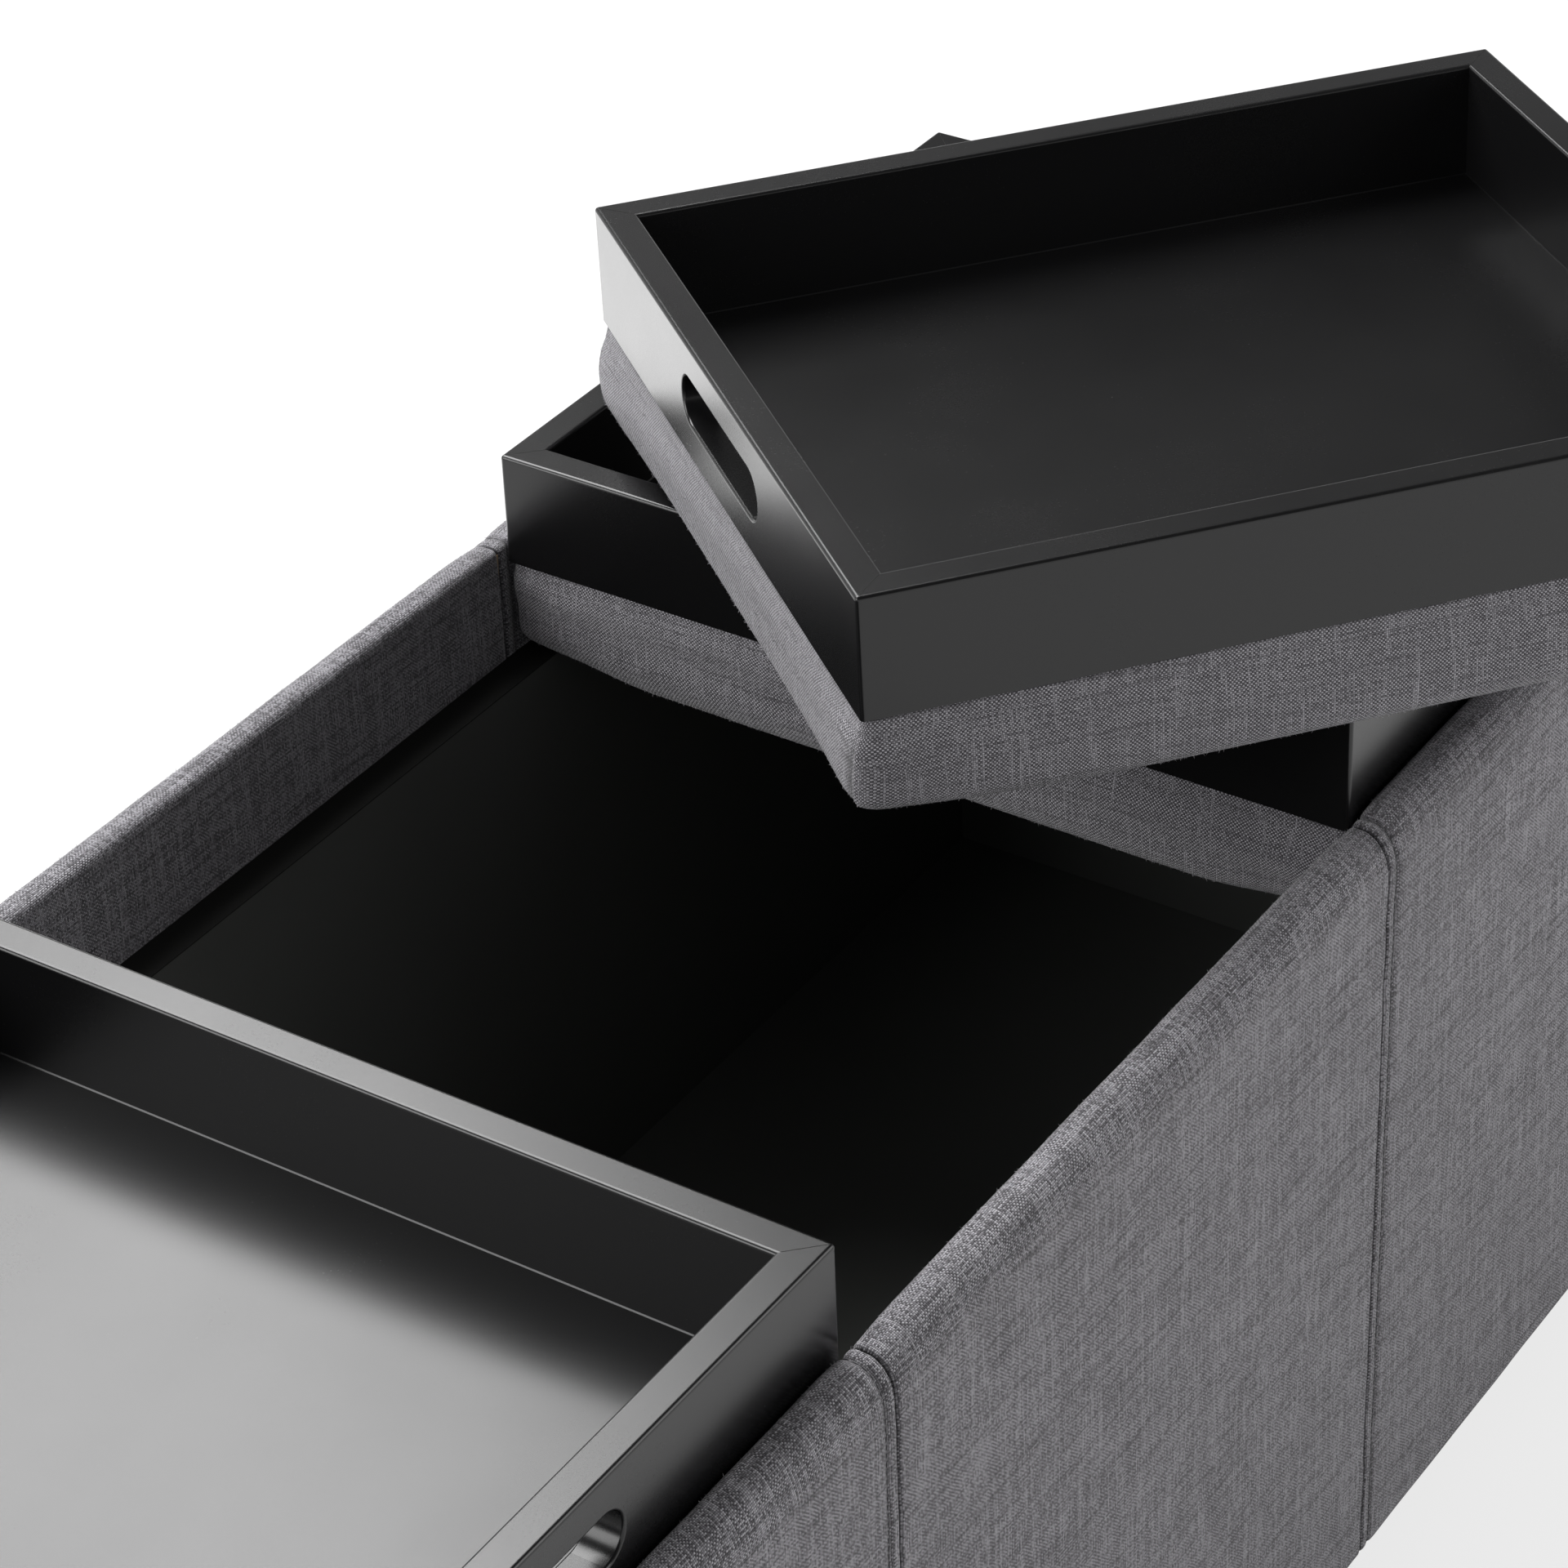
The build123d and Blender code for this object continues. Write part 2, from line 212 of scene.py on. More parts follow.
class Finish(Graph):
    """A material with one Principled shader; constants go on the shader's own sockets."""

    def __init__(self, name, **constants):
        self.material = bpy.data.materials.new(name)
        self.material.use_nodes = True
        super().__init__(self.material.node_tree)
        self.tree.nodes.clear()
        surface = self.node("ShaderNodeBsdfPrincipled")
        self.shader = surface.plug.node
        self.node("ShaderNodeOutputMaterial", None, {"Surface": surface})
        self.set(**constants)

    def set(self, **values):
        """Values or links of the shader's inputs, with underscores for the spaces in their names."""
        for name, value in values.items():
            self.join(value, self.shader.inputs[name.replace("_", " ")])

    def place(self):
        return self.node("ShaderNodeTexCoord", None, None, "Object")


def colour(red, green, blue):
    return (red, green, blue, 1.0)


print("Formulas ready")

# %% [markdown]
# The fabric is a plain weave of slubby yarn, charcoal with lighter and darker threads. A picture of it would
# repeat, so the weave is worked out: the cut of the cloth, kept as a UV map in metres, is divided into yarns
# that pass over and under each other. Each yarn has its own tone, which drifts along its length, each
# crossing is a fleck of its own, and the crossings stand up as a bump. A little sheen is the fuzz of the
# yarn. Deep in a seam little light gets between the yarns, so the nets below keep an attribute, `crease`,
# that darkens it.

# %% Grey woven fabric
YARN_PITCH = 0.8 * MM
YARN_RELIEF = 0.25 * MM
YARN_WANDER = 2.2
WARP_WAVES = 55.0
WEFT_WAVES = 43.0
TONE_DRIFT = 26.0
TONE_STEP = 1.7
WEFT_TONES = 9.0
YARN_DARK = colour(0.085, 0.08, 0.09)
YARN_LIGHT = colour(0.58, 0.565, 0.605)
YARN_GAP_SHADE = colour(*(0.2 * part for part in YARN_DARK[:3]))
MIDDLE_TONE = 0.46
GAP_SHADE = 0.15
CREASE_SHADE = 0.85


def woven_fabric(name, streaks, flecks, weft_lighter):
    """Weave whose tone changes from yarn to yarn, from crossing to crossing and from warp to weft."""
    cloth = Finish(name, Roughness=0.92, Sheen_Weight=0.35, Sheen_Roughness=0.45, Specular_IOR_Level=0.25)
    cut = cloth.node("ShaderNodeUVMap", {"uv_map": "cut"})
    across = cloth.axis(cut, "X")
    along = across.other("Y")
    warp = across / YARN_PITCH + (cloth.noise(cut, WARP_WAVES, detail=3.0) - 0.5) * YARN_WANDER
    weft = along / YARN_PITCH + (cloth.noise(cut, WEFT_WAVES, detail=3.0) - 0.5) * YARN_WANDER
    warp_yarn = warp.maths("FLOOR")
    weft_yarn = weft.maths("FLOOR")
    weft_on_top = (warp_yarn + weft_yarn) % 2.0
    warp_round = ((warp % 1.0) * math.pi).maths("SINE")
    weft_round = ((weft % 1.0) * math.pi).maths("SINE")
    warp_height = warp_round * (weft_round * 0.5 + 0.5)
    weft_height = weft_round * (warp_round * 0.5 + 0.5)
    height = warp_height + weft_on_top * (weft_height - warp_height)

    warp_tone = cloth.noise(cloth.vector(warp_yarn * TONE_STEP, along * TONE_DRIFT), scale=1.0)
    weft_tone = cloth.noise(cloth.vector(across * TONE_DRIFT, weft_yarn * TONE_STEP, WEFT_TONES), scale=1.0)
    crossing = cloth.node("ShaderNodeTexWhiteNoise", {"noise_dimensions": "2D"}, {
        "Vector": cloth.vector(warp_yarn, weft_yarn)})
    yarn = warp_tone + weft_on_top * (weft_tone - warp_tone)
    tone = (yarn - 0.5) * streaks + (crossing - 0.5) * flecks
    tone = tone + (weft_on_top - 0.5) * weft_lighter + MIDDLE_TONE
    tone = tone.maths("MAXIMUM", 0.0).maths("MINIMUM", 1.0)
    crease = cloth.node("ShaderNodeAttribute", {"attribute_name": "crease"}, None, "Fac")
    # Painted shade: the colour is darkened where the yarns dip between crossings, and darkened further deep in
    # seams by the crease attribute.
    shade = (height * (1 - GAP_SHADE) + GAP_SHADE) * (1.0 - crease * CREASE_SHADE)
    cloth.set(Base_Color=cloth.blend(shade, YARN_GAP_SHADE, cloth.blend(tone, YARN_DARK, YARN_LIGHT)))
    cloth.set(Normal=cloth.bump(height, strength=0.9, distance=YARN_RELIEF))
    return cloth.material


GREY_FABRIC = woven_fabric("grey_woven_fabric", streaks=3.6, flecks=0.8, weft_lighter=0.4)
PAD_FABRIC = woven_fabric("grey_pad_fabric", streaks=2.4, flecks=0.5, weft_lighter=0.9)
print("Fabrics:", GREY_FABRIC.name, PAD_FABRIC.name)

# %% [markdown]
# The trays are black lacquer on wood, rubbed to a satin. Lacquer is never quite flat, so a faint wave moves
# its normal, and its gloss changes a little from place to place. Grain shows only as a trace. The lining of
# the storage room is duller, and the feet are lacquered like the trays. What is hidden or very small, such as
# bare board, foam, steel and thread, needs no more than two colours in a noise, so one function makes them.

# %% Lacquer and lining
LACQUER_DARK = colour(0.0045, 0.0045, 0.0048)
LACQUER_LIGHT = colour(0.012, 0.0115, 0.0115)
LACQUER_GRAIN = (40.0, 40.0, 900.0)
CLOUD_GLOSS = 0.06
FINE_GLOSS = 0.05
CLOUD_RELIEF = 0.8
FINE_RELIEF = 0.05
LINING_ROUGHNESS = 0.65
LINING_GLOSS = 0.12
LEDGE_EDGE = 0.5 * MM


def lacquer(name, roughness, grain):
    paint = Finish(name, IOR=1.5)
    place = paint.place()
    cloud = paint.noise(place, scale=14.0, detail=3.0)
    fine = paint.noise(place, scale=900.0)
    streak = paint.noise(paint.stretched(place, LACQUER_GRAIN), scale=1.0)
    paint.set(Base_Color=paint.blend(streak * grain, LACQUER_DARK, LACQUER_LIGHT))
    paint.set(Roughness=(cloud - 0.5) * CLOUD_GLOSS + (fine - 0.5) * FINE_GLOSS + roughness)
    relief = cloud * CLOUD_RELIEF + fine * FINE_RELIEF
    paint.set(Normal=paint.bump(relief, strength=0.08, distance=0.6 * MM))
    return paint.material


def lining_board(name, dark, light, edge):
    """Dull black board; its faces carry painted light that stands in for glare, and its top edge, the ledge,
    carries painted shade.
    """
    board = Finish(name, Specular_IOR_Level=0.15)
    place = board.place()
    cloud = board.noise(place, scale=9.0, detail=4.0)
    pores = board.noise(place, scale=700.0)
    on_ledge = board.axis(place, "Z").maths("GREATER_THAN", LEDGE - LEDGE_EDGE)
    board.set(Base_Color=board.blend(on_ledge, board.blend(cloud, dark, light), edge))
    board.set(Roughness=(pores - 0.5) * LINING_GLOSS + LINING_ROUGHNESS)
    board.set(Normal=board.bump(pores, strength=0.15, distance=0.3 * MM))
    return board.material


BLACK_LACQUER = lacquer("black_satin_lacquer", roughness=0.26, grain=0.15)
FOOT_LACQUER = lacquer("foot_lacquer", roughness=0.36, grain=0.3)
# Painted light and shade: the faces' greys stand in for glare in the storage room, and the darker ledge colour is
# painted shade on its top face.
BLACK_LINING = lining_board("black_lining_board", colour(0.085, 0.087, 0.083), colour(0.105, 0.107, 0.102),
                            edge=colour(0.014, 0.014, 0.013))
print("Paints:", BLACK_LACQUER.name, FOOT_LACQUER.name, BLACK_LINING.name)

# %% Plain finishes, and all finishes on their nodes


def speckled(name, dark, light, scale, detail=2.0, grain=0.5, stretch=None, relief=None, gloss=None,
             **constants):
    """Two colours in a noise; relief is its bump's strength and distance, gloss its range of roughness."""
    finish = Finish(name, **constants)
    place = finish.stretched(finish.place(), stretch) if stretch else finish.place()
    specks = finish.noise(place, scale, detail, grain)
    finish.set(Base_Color=finish.blend(specks, dark, light))
    if relief:
        finish.set(Normal=finish.bump(specks, *relief))
    if gloss:
        least, most = gloss
        finish.set(Roughness=specks * (most - least) + least)
    return finish.material


BARE_WOOD = speckled("bare_board", colour(0.36, 0.24, 0.13), colour(0.62, 0.47, 0.31), scale=1.0, detail=5.0,
                     grain=0.6, stretch=(3.0, 60.0, 60.0), relief=(0.2, 0.3 * MM),
                     Roughness=0.75, Specular_IOR_Level=0.3)
FOAM = speckled("pale_foam", colour(0.62, 0.57, 0.43), colour(0.84, 0.8, 0.68), scale=1500.0,
                relief=(0.5, 0.4 * MM), Roughness=0.95, Specular_IOR_Level=0.2)
STEEL = speckled("plated_steel", colour(0.42, 0.42, 0.43), colour(0.62, 0.62, 0.64), scale=400.0, detail=3.0,
                 gloss=(0.25, 0.45), Metallic=1.0)
FELT = speckled("black_dust_cloth", colour(0.008, 0.008, 0.009), colour(0.035, 0.035, 0.037), scale=600.0,
                detail=4.0, grain=0.7, relief=(0.5, 0.3 * MM), Roughness=0.97, Specular_IOR_Level=0.15)
THREAD = speckled("grey_thread", colour(0.06, 0.058, 0.064), colour(0.16, 0.155, 0.165), scale=2500.0,
                  Roughness=0.7, Sheen_Weight=0.2)
FIBRE = speckled("grey_fibre", colour(0.16, 0.155, 0.165), colour(0.4, 0.39, 0.41), scale=2500.0,
                 Roughness=0.7, Sheen_Weight=0.2)

SLOT_FINISH = {
    "grey_fabric": GREY_FABRIC,
    "black_lacquer": BLACK_LACQUER,
    "black_lining": BLACK_LINING,
    "bare_board": BARE_WOOD,
    "foam": FOAM,
    "dust_cloth": FELT,
    "foot_lacquer": FOOT_LACQUER,
    "steel": STEEL,
}
for subpart in frame["record"]["subparts"]:
    node = frame["nodes"][subpart["node"]]
    for slot in node.material_slots:
        slot.material = SLOT_FINISH[subpart["material_slot"]]

# %% [markdown]
# The next pieces are meshes made from rows and columns of points. One helper turns such a net into an object:
# it joins the points into quads, and it keeps the cut of the cloth as a UV map, so that the weave runs with
# the cloth and turns over the rim with it. Others give a sheet its thickness and turn modifiers into mesh.

# %% Meshes from nets of points
PLACE_DIGITS = 7


def new_piece(name, data, material=None):
    """Object in the scene for a mesh, a lamp or a camera."""
    piece = bpy.data.objects.new(name, data)
    bpy.context.scene.collection.objects.link(piece)
    if material:
        data.materials.append(material)
    return piece


def plain_mesh(name, points, edges=(), faces=()):
    mesh = bpy.data.meshes.new(name)
    mesh.from_pydata(points, edges, faces)
    return mesh


def mesh_of(net, name):
    """Plain mesh of a bmesh, which is given up."""
    mesh = bpy.data.meshes.new(name)
    net.to_mesh(mesh)
    net.free()
    return mesh


def keep_crease(mesh, values):
    """Keeps how deep each point lies in a seam, from 0 to 1, for the painted shade in the fabric's seams."""
    layer = mesh.attributes.new("crease", "FLOAT", "POINT")
    layer.data.foreach_set("value", np.clip(values, 0.0, 1.0))


def net_object(name, points, cut, material, closed=False):
    """Object from points[row][column]; cut holds each point's place in the flat cloth."""
    rows, columns = points.shape[:2]
    faces = []
    for row in range(0, (rows - 1) * columns, columns):
        for column in range(columns if closed else columns - 1):
            after = (column + 1) % columns
            faces.append((row + column, row + after, row + columns + after, row + columns + column))
    mesh = plain_mesh(name, points.reshape(-1, 3).tolist(), faces=faces)
    layer = mesh.uv_layers.new(name="cut")
    flat = cut.reshape(-1, 2)
    for loop in mesh.loops:
        layer.data[loop.index].uv = flat[loop.vertex_index]
    return new_piece(name, mesh, material)


def finished_mesh(piece):
    """Turns a piece's modifiers into plain mesh."""
    bpy.context.view_layer.update()
    evaluated = piece.evaluated_get(bpy.context.evaluated_depsgraph_get())
    mesh = bpy.data.meshes.new_from_object(evaluated, preserve_all_data_layers=True,
                                           depsgraph=bpy.context.evaluated_depsgraph_get())
    piece.modifiers.clear()
    old = piece.data
    piece.data = mesh
    mesh.name = old.name
    bpy.data.meshes.remove(old)
    return piece


def smooth(piece):
    piece.data.polygons.foreach_set("use_smooth", [True] * len(piece.data.polygons))
    piece.data.update()
    return piece


def thick_cloth(piece, thickness):
    """Gives a sheet its thickness, on the inner side of its face."""
    wall = piece.modifiers.new("cloth", "SOLIDIFY")
    wall.thickness = thickness
    wall.offset = -1.0
    return smooth(finished_mesh(piece))


def lengths_along(points):
    """Distance along a line of points, from its first point to each."""
    return np.concatenate(([0.0], np.cumsum([math.dist(a, b) for a, b in zip(points, points[1:])])))


def in_order(places):
    """Places in rising order, each of them once."""
    return np.unique(np.round(places, PLACE_DIGITS))


def stations(start, end, fine, coarse, reach):
    """Places between two ends, close together within reach of either end and wider apart between them."""
    length = end - start
    near = np.arange(0.0, min(reach, length / 2), fine)
    middle = np.linspace(reach, length - reach, max(2, int(round((length - 2 * reach) / coarse)) + 1))
    return start + in_order(np.concatenate((near, middle, length - near[::-1])))


print("Nets ready")

# %% [markdown]
# The cover of the box is stretched over padded boards. Its section is the same all round: a hem under the
# box, the outer face, a rounded rim and the inner face, which goes down behind the lining. A formula for each
# stretch of it gives rows of points with the direction into the padding, so that seams can dip in later.

# %% Section of the cover
RIM_OUTER_ROUND = 11.0 * MM
RIM_OUTER_DROP = 18.0 * MM
RIM_INNER_ROUND = 4.0 * MM
HEM_ROUND = 3.0 * MM
HEM_WIDTH = 15.0 * MM
BEHIND_LINING = 6.0 * MM
COVER_THICKNESS = 1.2 * MM
HEM_ROWS = 4
HEM_ROUND_ROWS = 5
FACE_ROWS = 60
RIM_OUTER_ROWS = 17
RIM_INNER_ROWS = 11
INNER_ROWS = 12
FOOT_ROWS = 5


def arc(centre_in, centre_up, width, height, start, end, steps):
    """Points of a section: distance in from the outer face, height, and the direction into the padding."""
    points = []
    for angle in np.radians(np.linspace(start, end, steps)):
        out, up = math.cos(angle), math.sin(angle)
        across = Vector((out * height, -up * width)).normalized()
        points.append((centre_in - width * out, centre_up + height * up, *across))
    return points


def cover_section():
    """Rows of the cover's section, from the hem's inner edge up and over to the inner foot of the cloth."""
    low, rim = BENCH_LOW.z, BENCH_HIGH.z
    outer_top, inner_top, behind = rim - RIM_OUTER_DROP, rim - RIM_INNER_ROUND, LEDGE - BEHIND_LINING
    rows = [(inset, low, 0.0, 1.0) for inset in np.linspace(HEM_WIDTH, HEM_ROUND + 1 * MM, HEM_ROWS)]
    rows += arc(HEM_ROUND, low + HEM_ROUND, HEM_ROUND, HEM_ROUND, -90, 0, HEM_ROUND_ROWS)
    rows += [(0.0, height, 1.0, 0.0) for height in np.linspace(low + HEM_ROUND, outer_top, FACE_ROWS)[1:-1]]
    rows += arc(RIM_OUTER_ROUND, outer_top, RIM_OUTER_ROUND, RIM_OUTER_DROP, 0, 90, RIM_OUTER_ROWS)
    rows += arc(RIM_WIDTH - RIM_INNER_ROUND, inner_top, RIM_INNER_ROUND, RIM_INNER_ROUND, 90, 180,
                RIM_INNER_ROWS)
    inner = [*np.linspace(inner_top, behind, INNER_ROWS)[1:]]
    inner += [*np.linspace(behind, STORAGE_FLOOR, FOOT_ROWS + 1)[1:]]
    rows += [(RIM_WIDTH, height, -1.0, 0.0) for height in inner]
    return np.array(rows)


SECTION = cover_section()
SECTION_RUN = lengths_along(SECTION[:, :2])
RIM_RUN = SECTION_RUN[int(np.argmax(SECTION[:, 1]))]
print(f"Cover section: {len(SECTION)} rows, {SECTION_RUN[-1] / MM:.0f} mm of cloth")

# %% [markdown]
# Four boards stand under the cloth. A sharp edge would cut through it, and a seam needs room to dip in, so
# the edges that face outwards are rounded off, as with a plane. A box whose outer edges are bevelled does
# that.

# %% Wall boards with rounded edges
BOARD_EASE = 8.0 * MM
BOARD_EASE_STEPS = 5
BOARDS_REACH = (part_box("wall_front")[1].x - BENCH_MIDDLE.x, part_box("wall_rear")[1].y - BENCH_MIDDLE.y)
SAME_PLACE = 0.1 * MM


def faces_out(face, top):
    """Whether a face of a board is its top or lies on the outside of the ring of boards."""
    place = face.calc_center_median()
    reach = (abs(place.x - BENCH_MIDDLE.x), abs(place.y - BENCH_MIDDLE.y))
    return place.z > top - SAME_PLACE or any(abs(a - b) < SAME_PLACE for a, b in zip(reach, BOARDS_REACH))


def eased_board(side):
    low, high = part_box(f"wall_{side}")
    net = bmesh.new()
    shape = Matrix.Translation((low + high) / 2) @ Matrix.Diagonal((*(high - low), 1))
    bmesh.ops.create_cube(net, size=1.0, matrix=shape)
    outer = [edge for edge in net.edges if all(faces_out(face, high.z) for face in edge.link_faces)]
    bmesh.ops.bevel(net, geom=outer, offset=BOARD_EASE, segments=BOARD_EASE_STEPS, profile=0.5,
                    affect="EDGES")
    board = new_piece(f"{side}_wall_board", mesh_of(net, f"{side}_wall_board"), BARE_WOOD)
    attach(board, "bench")
    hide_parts(f"wall_{side}")
    return board


boards = {side: eased_board(side) for side in ("front", "right", "rear", "left")}
print("Boards:", {side: len(board.data.polygons) for side, board in boards.items()})

# %% [markdown]
# Where panels of the cover meet, the seam allowance pulls the cloth in, so each edge dips into a groove. A
# felled seam has a second, softer groove under its row of stitches. The cloth also puckers a little beside a
# seam, wavers between seams, and is pulled down where a seam goes over the rim. Each of these is a depth at
# a place of the flat cloth, so they can be added up.

# %% How deep seams and slack draw the cover in
SEAM_DEPTH = 1.5 * MM
SEAM_WIDTH = 0.9 * MM
SEAM_WANDER = 0.6 * MM
SEAM_PULL = 1.6 * MM
PULL_REACH = 12.0 * MM
FELL_WIDTH = 6.5 * MM
FELL_DEPTH = 0.9 * MM
FELL_SOFTNESS = 1.6 * MM
PUCKER_DEPTH = 0.35 * MM
PUCKER_REACH = 22.0 * MM
SLACK_DEPTH = 0.3 * MM
WANDER_WAVES = (10, 40, 7.7)
SLACK_WAVES = (35, 28, 3.1)
PUCKER_WAVES = (50, 95, 12)


def waves(place, counts):
    """Smooth noise from -1 to 1; the counts say how fast it changes with each value of the place."""
    return noise.noise(Vector([value * count for value, count in zip(place, counts)]))


def groove(distance, depth, width):
    """Depth of a soft groove, or height of a soft swelling, at a distance from its middle."""
    return depth * math.exp(-(distance / width) ** 2)


def fell_place(fell, height):
    """Place along the side of a felled seam's stitches, which wander a little on their way up."""
    return fell + SEAM_WANDER * waves((fell, height, 1), WANDER_WAVES)


def sewn(run, height, edges, fells):
    """How deep a panel is drawn in by its seams at a place along its run and up its section."""
    depth = sum(groove(abs(run - edge), SEAM_DEPTH, SEAM_WIDTH) for edge in edges)
    lines = [fell_place(fell, height) for fell in fells]
    return depth + sum(groove(abs(run - line), FELL_DEPTH, FELL_SOFTNESS) for line in lines)


def slack(run, height, edges):
    """How far the cloth wavers between its seams and is pulled down where a seam goes over the rim."""
    depth = SLACK_DEPTH * waves((run, height, 1), SLACK_WAVES)
    over_rim = groove(abs(height - RIM_RUN), 1.0, PULL_REACH)
    for edge in edges:
        ripple = waves((edge, height, abs(run - edge)), PUCKER_WAVES)
        depth += PUCKER_DEPTH * ripple * math.exp(-abs(run - edge) / PUCKER_REACH)
        depth += groove(abs(run - edge), SEAM_PULL, PULL_REACH) * over_rim
    return depth


seam_middle = sewn(0.0, RIM_RUN, (0.0,), ())
print(f"A seam is {seam_middle / MM:.1f} mm deep")

# %% [markdown]
# A panel is the section carried along a side of the box. A side has its own directions: along it and out of
# it. A column of points stands at a place along the side, or on the rounded corner, where half of the bend
# belongs to each panel. Offsetting inwards makes the corner bend tighter, from the outer radius to the inner
# one. The front and the rear have three panels each, and an end has one.

# %% Sides of the box and columns of a panel
SIDE_AXES = {
    "front": (Vector((1, 0, 0)), Vector((0, -1, 0))),
    "right": (Vector((0, 1, 0)), Vector((1, 0, 0))),
    "rear": (Vector((-1, 0, 0)), Vector((0, 1, 0))),
    "left": (Vector((0, -1, 0)), Vector((-1, 0, 0))),
}
HALF_LENGTH = (BENCH_HIGH.x - BENCH_LOW.x) / 2
HALF_DEPTH = (BENCH_HIGH.y - BENCH_LOW.y) / 2
BENCH_PLAN = Vector((BENCH_MIDDLE.x, BENCH_MIDDLE.y, 0))
CORNER_OUTER = 10.0 * MM
CORNER_INNER = 4.0 * MM
CORNER_STEPS = 7
COLUMN_FINE = 0.7 * MM
COLUMN_COARSE = 7.0 * MM
FINE_REACH = 5.0 * MM
FELL_STEP = 0.6 * MM
FELL_STEPS = 4


def bend_radius(inset):
    return CORNER_OUTER + (CORNER_INNER - CORNER_OUTER) * min(1.0, max(0.0, inset / RIM_WIDTH))


def panel_columns(start, end, straight, fells):
    """Columns of a panel as place along the side and angle round the corner; None as an end is the corner."""
    first = -straight if start is None else start
    last = straight if end is None else end
    places = stations(first, last, COLUMN_FINE, COLUMN_COARSE, FINE_REACH)
    extra = [fell + step * FELL_STEP for fell in fells for step in range(-FELL_STEPS, FELL_STEPS + 1)]
    places = in_order(np.concatenate((places, extra)))
    bends = np.radians(np.linspace(45, 0, CORNER_STEPS))
    columns = [(-straight, -angle) for angle in bends[:-1]] if start is None else []
    columns += [(place, 0.0) for place in places]
    columns += [(straight, angle) for angle in bends[::-1][1:]] if end is None else []
    return columns


def corner_share(place, fixed, straight):
    """Where a place lies along a side: 0 at the panel's fixed place, 1 or -1 at the corner it leads to."""
    return (place - fixed) / (straight - fixed if place > fixed else straight + fixed)


print(f"The box is {2 * HALF_LENGTH / MM:.0f} mm long and {2 * HALF_DEPTH / MM:.0f} mm deep")

# %% Panels of the cover


def cover_panel(name, side, start, end, fells=()):
    """One panel of the cover along a side, from start to end of that side, in metres from its middle."""
    along, out = SIDE_AXES[side]
    half, reach = (HALF_LENGTH, HALF_DEPTH) if side in ("front", "rear") else (HALF_DEPTH, HALF_LENGTH)
    straight = half - CORNER_OUTER
    columns = panel_columns(start, end, straight, fells)
    cornered = start is None or end is None
    fixed = next((seam for seam in (start, end) if seam is not None), 0.0)
    runs = np.array([place + CORNER_OUTER * angle for place, angle in columns])
    edges = (runs[0], runs[-1])
    points = np.zeros((len(SECTION), len(columns), 3))
    cut = np.zeros((len(SECTION), len(columns), 2))
    crease = np.zeros((len(SECTION), len(columns)))
    for row, (inset, height, into_in, into_up) in enumerate(SECTION):
        radius = bend_radius(inset)
        for column, (place, angle) in enumerate(columns):
            seam = sewn(runs[column], SECTION_RUN[row], edges, fells)
            depth = seam + slack(runs[column], SECTION_RUN[row], edges)
            if SECTION_RUN[row] < HEM_WIDTH:
                depth = max(0.0, depth)
            inner = inset + depth * into_in
            distance = place + radius * math.sin(angle)
            if cornered:
                bend_at = half - inner - radius
                distance += (bend_at - straight) * corner_share(place, fixed, straight)
            away = reach - inner - radius * (1 - math.cos(angle))
            spot = BENCH_PLAN + along * distance + out * away
            points[row, column] = (spot.x, spot.y, height + depth * into_up)
            cut[row, column] = (runs[column], SECTION_RUN[row])
            # Painted shade: the deeper the seam and fell grooves, the darker the fabric is painted there.
            crease[row, column] = seam / SEAM_DEPTH
    panel = net_object(name, points, cut, GREY_FABRIC)
    keep_crease(panel.data, crease.ravel())
    thick_cloth(panel, COVER_THICKNESS)
    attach(panel, "bench")
    return panel


FELL_LINE = FRONT_SEAM + FELL_WIDTH
THIRDS = {
    "left": (None, -FRONT_SEAM, (-FELL_LINE,)),
    "middle": (-FRONT_SEAM, FRONT_SEAM, ()),
    "right": (FRONT_SEAM, None, (FELL_LINE,)),
}
PADDING_UNDER = {
    "front": "cover_front_middle",
    "rear": "cover_rear_middle",
    "left": "cover_left",
    "right": "cover_right",
}
covers = {}
for third, (start, end, fells) in THIRDS.items():
    covers[f"cover_front_{third}"] = cover_panel(f"front_cover_{third}", "front", start, end, fells)
    mirrored = [None if seam is None else -seam for seam in (end, start)]
    rear_fells = tuple(-fell for fell in fells)
    covers[f"cover_rear_{third}"] = cover_panel(f"rear_cover_{third}", "rear", *mirrored, rear_fells)
for side in ("left", "right"):
    covers[f"cover_{side}"] = cover_panel(f"{side}_end_cover", side, None, None)
for node, panel in covers.items():
    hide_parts(node)
for side, node in PADDING_UNDER.items():
    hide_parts(f"padding_{side}")
print(f"{len(covers)} cover panels, {sum(len(panel.data.polygons) for panel in covers.values())} faces")

# %% [markdown]
# A seat pad is foam on a board, wrapped in fabric and screwed under a tray. Its sides are held by the board
# at the top, and below that the foam pushes the cloth out. Two styles of pad are made. The left and right
# pads are seated: the box holds their sides in. The middle pad is loose, with a tighter lower edge. Bulges
# and wrinkles drawn by hand would look drawn, so a pad starts as a plain net that is blown up later. Its
# outline and its side are worked out first.

